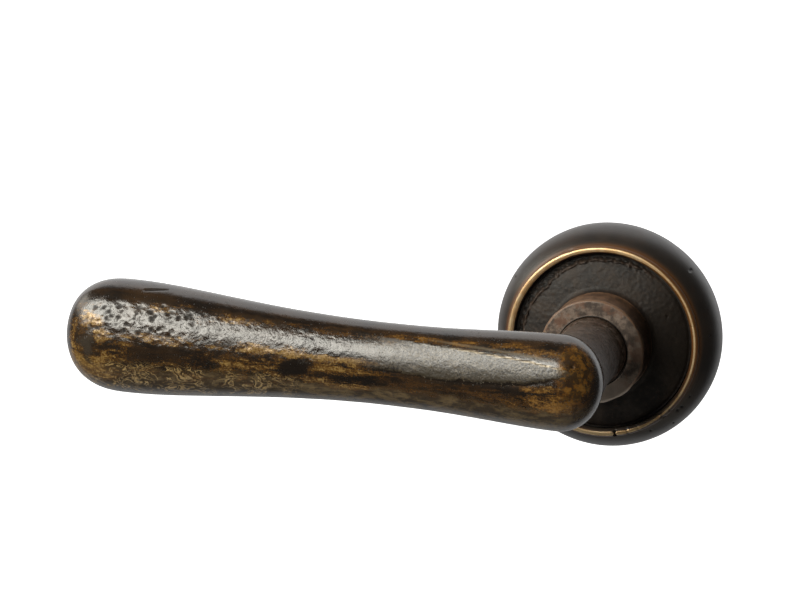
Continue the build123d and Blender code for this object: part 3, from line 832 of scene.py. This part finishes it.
# nicks filed or knocked into the bead: degrees, half width and depth in mm
NICKS = (
    (-78.0, 0.42, 0.60),
    (-70.0, 0.40, 0.12),
    (-46.0, 0.7, 0.16),
    (-40.0, 0.35, 0.10),
    (-63.0, 0.3, 0.10),
    (16.0, 0.3, 0.06),
    (112.0, 0.8, 0.05),
)
# casting pores on the dome: radius in mm, degrees, size in mm
DOME_PORES = (
    (25.3, 43.5, 0.34),
    (23.3, -27.6, 0.25),
    (23.2, -35.0, 0.42),
    (23.0, -38.0, 0.34),
    (23.2, -58.0, 0.3),
    (24.2, 8.0, 0.2),
    (24.6, -46.0, 0.24),
    (24.9, 150.0, 0.2),
)


def ring_step(radius, out):
    """Length of the outline's pieces in mm: long inside, where nothing shows."""
    if radius < 20.5 or (radius < 22.7 and out < 9.0):
        return 2.5
    return 0.16 if out > 8.6 else 0.3


def ring_surface(obj):
    """Soft unevenness, nicks and pores, marks for the bright bead and its warm flanks, and painted
    light on the lower right.
    """
    mesh = obj.data
    p = points_mm(mesh)
    x, out, _, radius, angle = around_axis(p)
    outside = (radius > 20.4) & ((out > 8.95) | (radius > 23.2)) & (out > 0.3)
    on_bead = outside & (np.hypot(radius - BEAD_R, out - BEAD_OUT) < BEAD_REACH)
    sink = 0.02 + 0.05 * (0.5 + 0.5 * grain(p, 9.0, 21)) + 0.015 * (0.5 + 0.5 * grain(p, 2.5, 22))
    nick = np.zeros(len(p))
    for at, width, depth in NICKS:
        gap = np.abs(wrap(angle - at)) * BEAD_R * math.pi / 180 - 0.12 * np.sin(out * 9.0)
        cut = ramp(gap, width, width * 0.25) * on_bead
        sink = sink + depth * cut
        nick = np.maximum(nick, cut * min(1.0, depth * 2.2))
    pore = np.zeros(len(p))
    for pore_r, at, size in DOME_PORES:
        gap = np.hypot(radius - pore_r, np.radians(wrap(angle - at)) * pore_r) / size
        pore = np.maximum(pore, ramp(gap, 1.2, 0.4) * (out > 4))
    sink = sink + 0.22 * pore
    p[outside] -= (per_vertex(mesh, "normal") * sink[:, None])[outside]
    set_points(mesh, p)

    # bright metal on the bead's crest, and all down its inner side at the left
    lean = (radius - BEAD_R) / BEAD_HALF
    rightward = x / np.maximum(radius, 1e-6)
    left, right = ramp(-rightward, 0.35, 0.85), ramp(rightward, 0.2, 0.8)
    inner_edge = 0.3 * right - 0.9 * left
    inner = ramp(lean, inner_edge - 0.85, inner_edge - 0.35)
    outer = ramp(lean, 0.90 - 0.35 * right, 0.20 - 0.35 * right)
    warmth = ramp(radius, BEAD_R + 2.3, BEAD_R + 0.4) * ramp(radius, BEAD_R - 1.1, BEAD_R - 0.5)
    store(
        mesh,
        bead=on_bead * inner * outer * ramp(out, 9.9 - left, 10.5 - left),
        flank=warmth * (out > 8.9),
        nick=np.maximum(nick, pore),
        # painted light on the ring's lower right
        under=band(angle, -105, -25, 25),
    )


def ring_finish():
    """Smooth dark patina, orange beside the bead, with the bead itself polished bright and painted
    light on the lower right.
    """
    f = Finish("patinated_ring_bronze")
    bead, flank, nick, under = (f.mark(n) for n in ("bead", "flank", "nick", "under"))
    fine = f.noise(0.5, 3, 0.6)
    f.colour = f.tones(
        f.noise(8.0, 3, 0.55), 0.35, 0.65, (0.0250, 0.0185, 0.0142), (0.0400, 0.0275, 0.0195)
    )
    rusty = f.step(f.noise(3.0, 4, 0.6), 0.55, 0.72)
    f.coat((0.045, 0.022, 0.010), rusty, 0.4)
    warmth = f.times(flank, f.step(flank, 0.0, 0.9))
    f.coat((0.190, 0.072, 0.013), warmth, 0.9)
    # painted light on the ring's lower right
    f.coat((0.066, 0.052, 0.041), under, 0.8)
    gold = f.tones(f.noise(2.0, 3), 0.35, 0.65, (0.90, 0.58, 0.28), (0.97, 0.72, 0.42))
    shiny = f.step(f.plus(bead, f.times(f.less(fine, 0.5), 0.35)), 0.25, 0.80)
    f.coat(gold, shiny)
    f.coat((0.006, 0.004, 0.003), nick)
    satin, bright = f.plus(0.33, f.times(f.noise(1.5, 3), 0.14)), f.plus(0.36, f.times(fine, 0.06))
    # faint turning and cleaning scratches, less on the bead
    scratch = f.noise(0.22, 2, 0.5, 0.0, f.stretch(0.06, 1.0, 1.0))
    tooth = f.plus(f.times(scratch, 0.3), f.noise(0.35, 3, 0.6))
    relief = f.bump(f.times(tooth, f.less(1.0, f.times(shiny, 0.9))), 0.012)
    return f.done(f.times(shiny, 0.60), f.blend(shiny, satin, bright), relief, 1.75)


ring_piece = turned_piece("rose_ring_turned", "rose_ring", RING_SEGMENTS, ring_step)
ring_surface(ring_piece)
shade(ring_piece, 40.0)
dress(ring_piece, ring_finish(), "cover", "rose_ring")


# ---------------------------------------------------------------- rose dish with its boss
BOSS_R, BOSS_OUT, FIELD_R = 11.75, 22.0, 19.3
DISH_SEGMENTS = 530
# the ragged lip's radius in mm, by degrees from the right over the top to the lower left
LIP = ([60, 83, 103, 123, 140, 162, 182, 205], [19.4, 19.0, 18.9, 18.6, 17.9, 18.5, 18.3, 18.9])
DISH_PIT = (16.3, 27)  # radius in mm and degrees
BOSS_FLATS, FLAT_TURN = 13, 27.0


def dish_step(radius, out):
    """Length of the outline's pieces in mm: long inside, where nothing shows."""
    if out < 9.1 or (radius < 10.5 and out < 20.7):
        return 2.5
    if radius < 12.2 and out > 20.6:
        return 0.14
    return 0.3 if radius < 12.2 else 0.19


def dish_surface(obj):
    """Sand-cast field with its ragged lip, and a boss filed by hand, with their marks."""
    mesh = obj.data
    p = points_mm(mesh)
    x, out, z, radius, angle = around_axis(p)
    near_side = (out > 9.15) & ((radius > 11.0) | (out > BOSS_OUT - 0.9)) & (radius > 8.15)
    on_field = near_side & (radius > BOSS_R + 0.05) & (radius < 20.2)
    on_boss = near_side & ~on_field
    normals = per_vertex(mesh, "normal")

    # sand-cast skin of the field
    skin = 0.05 * grain(p, 2.6, 31) + 0.07 * grain(p, 0.8, 32) + 0.09 * grain(p, 6.0, 33)
    # ragged lip of the field, with a trough outside it
    turn = np.where(angle < -90, angle + 360, angle)
    lip_r = np.interp(turn, *LIP)
    lip_r = lip_r + 0.42 * grain(p, 1.7, 34) + 0.30 * grain(p, 0.7, 35)
    reach = ramp(turn, 52, 66) * ramp(turn, 215, 190)
    trough = ramp(radius, lip_r, lip_r + 0.28) * reach
    crest = ramp(np.abs(radius - lip_r + 0.25), 0.42, 0.12) * reach
    rough_top = band(turn, 62, 150, 12) * ramp(radius, 17.6, 18.6)
    lift = crest * (0.28 + 0.40 * grain(p, 0.9, 39)) - 0.36 * trough
    lift += 0.30 * rough_top * grain(p, 0.7, 36)
    lift += 0.36 * trough * grain(p, 0.8, 40) * ramp(radius, 19.7, 19.2)
    lift = np.where(radius > FIELD_R, np.minimum(lift, 0.0) * 0.4, lift)
    lift += 0.42 * ramp(radius, FIELD_R, FIELD_R + 0.4)
    pit_r, pit_at = DISH_PIT
    pit = ramp(np.hypot(radius - pit_r, np.radians(wrap(angle - pit_at)) * pit_r), 0.4, 0.15)
    out = out + (skin + lift - 0.3 * pit) * on_field * ramp(radius, BOSS_R + 0.1, BOSS_R + 1.0)

    # boss filed by hand into many shallow flats
    limit = np.full(len(p), 99.0)
    for k in range(BOSS_FLATS):
        at = k * FLAT_TURN + 9.0 * math.sin(k * 2.3)
        depth = 0.10 + 0.10 * (0.5 + 0.5 * math.sin(k * 1.7))
        lean = np.cos(np.radians(wrap(angle - at)))
        limit = np.minimum(limit, (BOSS_R - depth) / np.maximum(lean, 0.3))
    trimmed = np.minimum(radius, limit - 0.05 * (BOSS_OUT - out) / BOSS_OUT)
    filed = radius + (trimmed - radius) * ramp(out, 14.5, 20.0)
    new_radius = np.where(on_boss & (radius > 10.7), filed, radius)
    boss_sink = 0.02 + 0.03 * (1 + grain(p, 2.0, 37)) + 0.012 * (1 + grain(p, 0.7, 38))
    scale = new_radius / np.maximum(radius, 1e-6)
    p = np.column_stack([x * scale, -out, z * scale])
    p[on_boss] -= normals[on_boss] * boss_sink[on_boss, None]
    set_points(mesh, p)
    rim = ramp(np.abs(radius - BOSS_R + 0.2), 0.5, 0.12)
    store(
        mesh,
        boss=on_boss,
        lip=crest * 0.9,
        # painted shade on the right side of the field and boss
        shade=band(angle, -28, 40, 18) * ramp(radius, 7.5, 10.0),
        # painted light on the lower right of the boss
        pale=band(angle, -88, -38, 12) * on_boss,
        # painted shade in the trough between the lip and the ring
        trough=np.maximum(trough, ramp(radius, 19.2, 19.8)),
        rim=on_boss * rim * (out > BOSS_OUT - 0.8),
        face=on_boss * (radius < BOSS_R - 0.15) * (out > BOSS_OUT - 0.4),
    )


def dish_finish():
    """Rough dark casting, with a boss of greyer and browner metal handled more; painted shade in
    the trough and on the right, painted light low on the boss's right, and a painted highlight on
    part of its rim.
    """
    f = Finish("sand_cast_dish_bronze")
    boss, lip, trough, rim, face = (f.mark(n) for n in ("boss", "lip", "trough", "rim", "face"))
    shaded, pale = f.mark("shade"), f.mark("pale")
    grit = f.noise(0.7, 4, 0.65)
    f.colour = f.tones(
        f.noise(5.0, 4, 0.6), 0.35, 0.68, (0.0110, 0.0070, 0.0048), (0.034, 0.0210, 0.0125)
    )
    f.coat((0.064, 0.038, 0.021), f.step(grit, 0.50, 0.70), 0.45)
    f.coat((0.055, 0.031, 0.018), lip, f.step(grit, 0.35, 0.6))
    # painted shade in the trough between the lip and the ring
    f.coat((0.005, 0.004, 0.003), trough, f.step(grit, 0.62, 0.38))
    stone = f.tones(f.noise(2.2, 5, 0.66), 0.38, 0.60, (0.290, 0.220, 0.175), (0.085, 0.063, 0.050))
    brown = f.step(f.noise(3.4, 5, 0.66), 0.50, 0.62)
    stone = f.mix(f.times(brown, 0.7), stone, (0.200, 0.100, 0.060))
    wall = f.tones(f.noise(2.4, 3, 0.6), 0.35, 0.65, (0.260, 0.145, 0.085), (0.120, 0.066, 0.040))
    boss_tone_and_rim_highlight = f.mix(face, wall, stone)
    # lighter rim of the boss: partly wear on its filed edge, partly a painted highlight
    boss_tone_and_rim_highlight = f.mix(f.times(rim, f.step(grit, 0.30, 0.5)), boss_tone_and_rim_highlight, (0.24, 0.135, 0.075))
    f.coat(boss_tone_and_rim_highlight, boss)
    # painted shade on the right side of the field and boss
    f.coat((0.016, 0.012, 0.009), shaded, 0.75)
    # painted light on the lower right of the boss
    f.coat((0.360, 0.300, 0.255), pale, 0.75)
    f.put(f.shader.inputs["Specular IOR Level"], f.less(0.5, f.times(shaded, 0.30)))
    rough = f.blend(boss, f.plus(0.50, f.times(grit, 0.2)), f.plus(0.34, f.times(grit, 0.2)))
    relief = f.bump(f.plus(f.noise(0.45, 4, 0.65), f.times(f.noise(0.18, 2), 0.4)), 0.05)
    return f.done(0.0, rough, relief, 1.55)


dish_piece = turned_piece("rose_dish_cast", "rose_dish", DISH_SEGMENTS, dish_step)
dish_surface(dish_piece)
shade(dish_piece, 45.0)
dress(dish_piece, dish_finish(), "cover", "rose_dish")


# ---------------------------------------------------------------- fixings with real threads
BAR_SEGMENTS = 40


def threaded(name, outline, pitch, depth):
    """Round bar of (radius, out) outline about the door axis, with a helical thread."""
    rows = []
    for (r0, o0), (r1, o1) in zip(outline[:-1], outline[1:]):
        parts = max(1, int(abs(o1 - o0) / (pitch / 9)))
        rows += [(r0 + (r1 - r0) * k / parts, o0 + (o1 - o0) * k / parts) for k in range(parts)]
    rows.append(outline[-1])
    verts = turned(rows, BAR_SEGMENTS)
    _, out, _, radius, angle = around_axis(verts)
    phase = (out / pitch + angle / 360) % 1.0
    ridge = np.clip(1.35 - np.abs(phase - 0.5) * 3.4, 0.0, 1.0)
    low, high = outline[-1][1], outline[0][1]
    cut = depth * (1 - ridge) * ramp(out, low, low + pitch) * ramp(out, high, high - 0.4 * pitch)
    scale = (radius - np.minimum(cut, radius * 0.75)) / np.maximum(radius, 1e-6)
    verts[:, ::2] *= scale[:, None]
    return tube(name, verts, BAR_SEGMENTS)


def fixing_pair(name, node, axis, outline, pitch, depth):
    """The CAD heads and shanks of a node, with threaded bars joined on behind the door face."""
    head = placed(name, NODES[node].data.copy())
    bm = bmesh.new()
    bm.from_mesh(head.data)
    bmesh.ops.remove_doubles(bm, verts=bm.verts, dist=2e-6)
    bmesh.ops.bisect_plane(
        bm,
        geom=[*bm.verts, *bm.edges, *bm.faces],
        plane_co=(0, 0.1 * MM, 0),
        plane_no=(0, 1, 0),
        clear_outer=True,
    )
    bmesh.ops.holes_fill(bm, edges=[e for e in bm.edges if e.is_boundary])
    bmesh.ops.recalc_face_normals(bm, faces=bm.faces)
    bm.to_mesh(head.data)
    bm.free()
    for cx, cz in centre_pairs(node, axis):
        bar = threaded(name + "_bar", outline, pitch, depth)
        bar.data.transform(Matrix.Translation((cx * MM, 0, cz * MM)))
        combine(head, bar, "UNION")
    return head


def centre_pairs(node, axis):
    """Centres of the two pieces of a node that lie either side of the spindle, in mm."""
    low, high = (np.array(c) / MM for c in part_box(node))
    span = (high - low)[axis] / 2 - (high - low)[2 - axis] / 2
    return [(span * s, 0.0) if axis == 0 else (0.0, span * s) for s in (-1, 1)]


BOLT_R, BOLT_REACH, BOLT_ROOT = 2.0, 26.5, 1.68
SCREW_R, SCREW_REACH, SCREW_TIP = 1.75, 21.5, 5.0
bolt_line = [
    (BOLT_ROOT, 0.6),
    (BOLT_ROOT, -0.35),
    (BOLT_R, -0.6),
    (BOLT_R, -BOLT_REACH + 0.5),
    (BOLT_R - 0.5, -BOLT_REACH),
]
screw_line = [
    (1.2, 0.6),
    (1.2, -0.35),
    (SCREW_R, -1.0),
    (SCREW_R, -SCREW_REACH + SCREW_TIP),
    (0.25, -SCREW_REACH),
]
bolts = fixing_pair("through_bolts_threaded", "through_bolts", 0, bolt_line, 0.7, 0.38)
screws = fixing_pair("wood_screws_threaded", "wood_screws", 2, screw_line, 1.5, 0.62)


# ---------------------------------------------------------------- return spring
WIRE_R, COIL_R, COIL_PITCH, COIL_TURNS = 0.75, 11.2, 1.6, 1.9
COIL_LOW, LEG_BEND, LEG_LOW, LEG_HIGH = 3.1, 1.25, 1.2, 7.9
WIRE_SEGMENTS = 16


def spring_tube():
    """Round wire along the CAD spring's path: leg in the base plate, coil, leg on the driver."""
    leg_r = math.hypot(COIL_R, LEG_BEND)
    lean = math.degrees(math.atan2(LEG_BEND, COIL_R))
    begin, sweep = 90.0 - lean, -360.0 * COIL_TURNS
    rise = COIL_PITCH * COIL_TURNS
    top, last = COIL_LOW + rise, begin + sweep - lean

    def at(radius, degrees, out):
        turn = math.radians(degrees)
        return np.array((radius * math.cos(turn), -out, radius * math.sin(turn)))

    def arc(start, corner, stop):
        ts = np.linspace(0, 1, 10)
        return [start * (1 - t) ** 2 + 2 * corner * t * (1 - t) + stop * t * t for t in ts]

    path = [at(leg_r, 90.0, LEG_LOW), at(leg_r, 90.0, COIL_LOW - LEG_BEND)]
    path += arc(path[-1], at(leg_r, 90.0, COIL_LOW), at(COIL_R, begin, COIL_LOW))[1:]
    steps = int(90 * COIL_TURNS)
    for k in range(1, steps):
        path.append(at(COIL_R, begin + sweep * k / steps, COIL_LOW + rise * k / steps))
    end = at(COIL_R, begin + sweep, top)
    path += arc(end, at(leg_r, last, top), at(leg_r, last, top + LEG_BEND))
    path = np.array([*path, at(leg_r, last, LEG_HIGH)])
    verts, side = [], np.array((1.0, 0.0, 0.0))
    for i, point in enumerate(path):
        along = path[min(i + 1, len(path) - 1)] - path[max(i - 1, 0)]
        along /= np.linalg.norm(along)
        side = side - along * side.dot(along)
        side /= np.linalg.norm(side)
        other = np.cross(along, side)
        for turn in np.arange(WIRE_SEGMENTS) * (2 * math.pi / WIRE_SEGMENTS):
            verts.append(point + WIRE_R * (math.cos(turn) * side + math.sin(turn) * other))
    return tube("return_spring_wound", np.array(verts), WIRE_SEGMENTS)


spring = spring_tube()


# ---------------------------------------------------------------- finishes of the inner parts
def steel(name, tint, rough, lines):
    """Plated or drawn steel with faint spangles and darker stains; lines is its drawn grain."""
    f = Finish(name)
    fine = f.noise(0.3, 3, 0.6)
    dimmer, stained = (tuple(c * share for c in tint) for share in (0.78, 0.45))
    f.colour = f.tones(f.noise(1.6, 3, 0.6), 0.35, 0.65, tint, dimmer)
    stain = f.step(f.noise(2.6, 4, 0.65), 0.60, 0.74)
    f.coat(stained, stain, 0.5)
    gloss = f.plus(rough, f.times(fine, 0.16))
    drawn = f.noise(0.12, 2, 0.5, 0.0, f.stretch(0.05, 1.0, 1.0))
    height = f.plus(fine, f.times(drawn, lines))
    return f.done(1.0, gloss, f.bump(height, 0.012))


def die_casting():
    f = Finish("zinc_die_casting")
    flow = f.noise(4.0, 4, 0.6, 1.2)
    grit = f.noise(0.35, 4, 0.65)
    f.colour = f.tones(flow, 0.35, 0.68, (0.34, 0.345, 0.35), (0.24, 0.243, 0.25))
    f.coat((0.14, 0.14, 0.145), f.step(grit, 0.58, 0.72), 0.4)
    gloss = f.plus(0.42, f.times(grit, 0.2))
    return f.done(0.85, gloss, f.bump(f.plus(grit, f.times(flow, 0.6)), 0.03))


def moulded_nylon():
    f = Finish("moulded_nylon")
    grit = f.noise(0.25, 3, 0.6)
    f.colour = f.tones(f.noise(3.0, 3), 0.35, 0.65, (0.62, 0.60, 0.54), (0.54, 0.515, 0.45))
    return f.done(0.0, f.plus(0.38, f.times(grit, 0.15)), f.bump(grit, 0.01), 1.53)


zinc_steel = steel("zinc_plated_steel", (0.60, 0.59, 0.54), 0.22, 0.5)
bar_steel = steel("bright_drawn_steel", (0.46, 0.46, 0.47), 0.26, 1.0)
spring_steel = steel("oiled_spring_steel", (0.17, 0.165, 0.17), 0.26, 0.8)
casting_grey = die_casting()
nylon = moulded_nylon()
for node, material in {
    "base_plate": casting_grey,
    "cassette_cover": zinc_steel,
    "cassette_rivets": bar_steel,
    "bolt_washers": zinc_steel,
    "spindle": bar_steel,
    "grub_screw": spring_steel,
    "thrust_washer": bar_steel,
    "dished_washer": spring_steel,
    "circlip": spring_steel,
    "spring_driver": zinc_steel,
    "neck_guide_ring": nylon,
    "cover_clip_ring": nylon,
    "front_bush": nylon,
    "rear_bush": nylon,
}.items():
    dress(NODES[node], material)

for fixings, node in ((bolts, "through_bolts"), (screws, "wood_screws")):
    shade(fixings, 32.0)
    dress(fixings, zinc_steel, "base", node)
shade(spring, 50.0)
dress(spring, spring_steel, None, "return_spring")
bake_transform(spring)


# ---------------------------------------------------------------- studio
FLOOR_HALF, FLOOR_Z = 9000, -160
LAMP_COLOUR = (1.0, 0.97, 0.875)
LAMPS_AIM_AT = Vector((-0.03, -0.03, 0.0))
ROOM_GLOW, ROOM_DIM = 0.95, 0.035


def pale_floor():
    """Wide bright floor that the camera sees and that casts no light on the handle."""
    corners = [(x, y, FLOOR_Z) for x, y in ((-1, -1), (1, -1), (1, 1), (-1, 1))]
    corners = [(x * FLOOR_HALF, y * FLOOR_HALF, z) for x, y, z in corners]
    ground = mesh_object("studio_floor", corners, [(0, 1, 2, 3)])
    f = Finish("pale_floor")
    tone = f.noise(60.0, 2)
    f.put(f.shader.inputs["Emission Color"], f.mix(tone, (1.0, 1.0, 1.0), (0.99, 0.99, 0.99)))
    f.shader.inputs["Emission Strength"].default_value = 1.1
    f.colour = f.mix(tone, (0.86, 0.86, 0.86), (0.84, 0.84, 0.84))
    dress(ground, f.done(0.0, 0.8, f.bump(tone, 0.1)))
    ground.visible_glossy = False
    ground.visible_diffuse = False


def white_room():
    """World that is white to the camera, and white behind the handle for its reflections."""
    world = bpy.data.worlds.new("studio")
    bpy.context.scene.world = world
    world.use_nodes = True
    w = Nodes(world.node_tree)
    back = w.tree.nodes["Background"]
    back.inputs["Color"].default_value = (1.0, 1.0, 1.0, 1.0)
    place = w.node("ShaderNodeTexCoord").outputs["Generated"]
    split = w.node("ShaderNodeSeparateXYZ", {0: place})
    x, y, z = (split.outputs[axis] for axis in "XYZ")
    # the white part ends behind the handle's own plane, further back out to both sides
    aside = w.most(w.times(x, w.step(z, -0.3, 0.3, 0.0, -0.28)), w.times(x, 0.68))
    behind = w.step(w.less(y, aside), 0.17, 0.25, 0.0, ROOM_GLOW)
    lifted = w.step(z, -0.25, 0.15, 0.50, 1.0)
    glow = w.plus(w.times(behind, lifted), ROOM_DIM)
    seen = w.node("ShaderNodeLightPath").outputs["Is Camera Ray"]
    w.put(back.inputs["Strength"], w.most(glow, seen))


def softbox(name, azimuth, elevation, distance, width, height, radiance):
    """Rectangular lamp in metres; azimuth is degrees left of straight in front."""
    lamp = bpy.data.lights.new(name, "AREA")
    lamp.shape = "RECTANGLE"
    lamp.size, lamp.size_y = width, height
    lamp.energy = radiance * math.pi * width * height
    lamp.color = LAMP_COLOUR
    obj = placed(name, lamp)
    a, e = math.radians(azimuth), math.radians(elevation)
    away = Vector((-math.sin(a) * math.cos(e), -math.cos(a) * math.cos(e), math.sin(e)))
    obj.location = LAMPS_AIM_AT + away * distance
    obj.rotation_mode = "QUATERNION"
    obj.rotation_quaternion = away.to_track_quat("Z", "Y")
    return obj


def studio():
    pale_floor()
    white_room()
    softbox("key_softbox", 38, 30, 0.80, 0.95, 0.36, 5.6)
    softbox("wide_softbox", 66, 25, 1.10, 1.90, 0.38, 1.5)
    # light from the floor, which would show as a hard shape if the bronze reflected it
    bounce = softbox("floor_bounce", -10, -74, 0.90, 1.60, 1.00, 1.65)
    bounce.visible_glossy = False


LENS_MM, SENSOR_MM = 85.0, 36.0
CAMERA_AT = (0.07724, -0.42347, 0.09124)
CAMERA_YAW, CAMERA_PITCH, CAMERA_ROLL = (math.radians(a) for a in (16.875, 11.300, 2.264))


def aim_camera():
    """Camera in front of the handle, to its right and above, looking left and down."""
    camera = bpy.data.cameras.new("camera")
    camera.lens, camera.sensor_width = LENS_MM, SENSOR_MM
    obj = placed("camera", camera)
    sin_yaw, cos_yaw = math.sin(CAMERA_YAW), math.cos(CAMERA_YAW)
    drop = math.cos(CAMERA_PITCH)
    ahead = Vector((-sin_yaw * drop, cos_yaw * drop, -math.sin(CAMERA_PITCH)))
    level = Vector((cos_yaw, sin_yaw, 0.0))
    upright = level.cross(ahead)
    right = level * math.cos(CAMERA_ROLL) + upright * math.sin(CAMERA_ROLL)
    up = upright * math.cos(CAMERA_ROLL) - level * math.sin(CAMERA_ROLL)
    turn = Matrix((right, up, -ahead)).transposed()
    obj.matrix_world = Matrix.Translation(CAMERA_AT) @ turn.to_4x4()
    bpy.context.scene.camera = obj


studio()
aim_camera()
bpy.context.scene.view_settings.view_transform = "Standard"

bpy.context.view_layer.update()
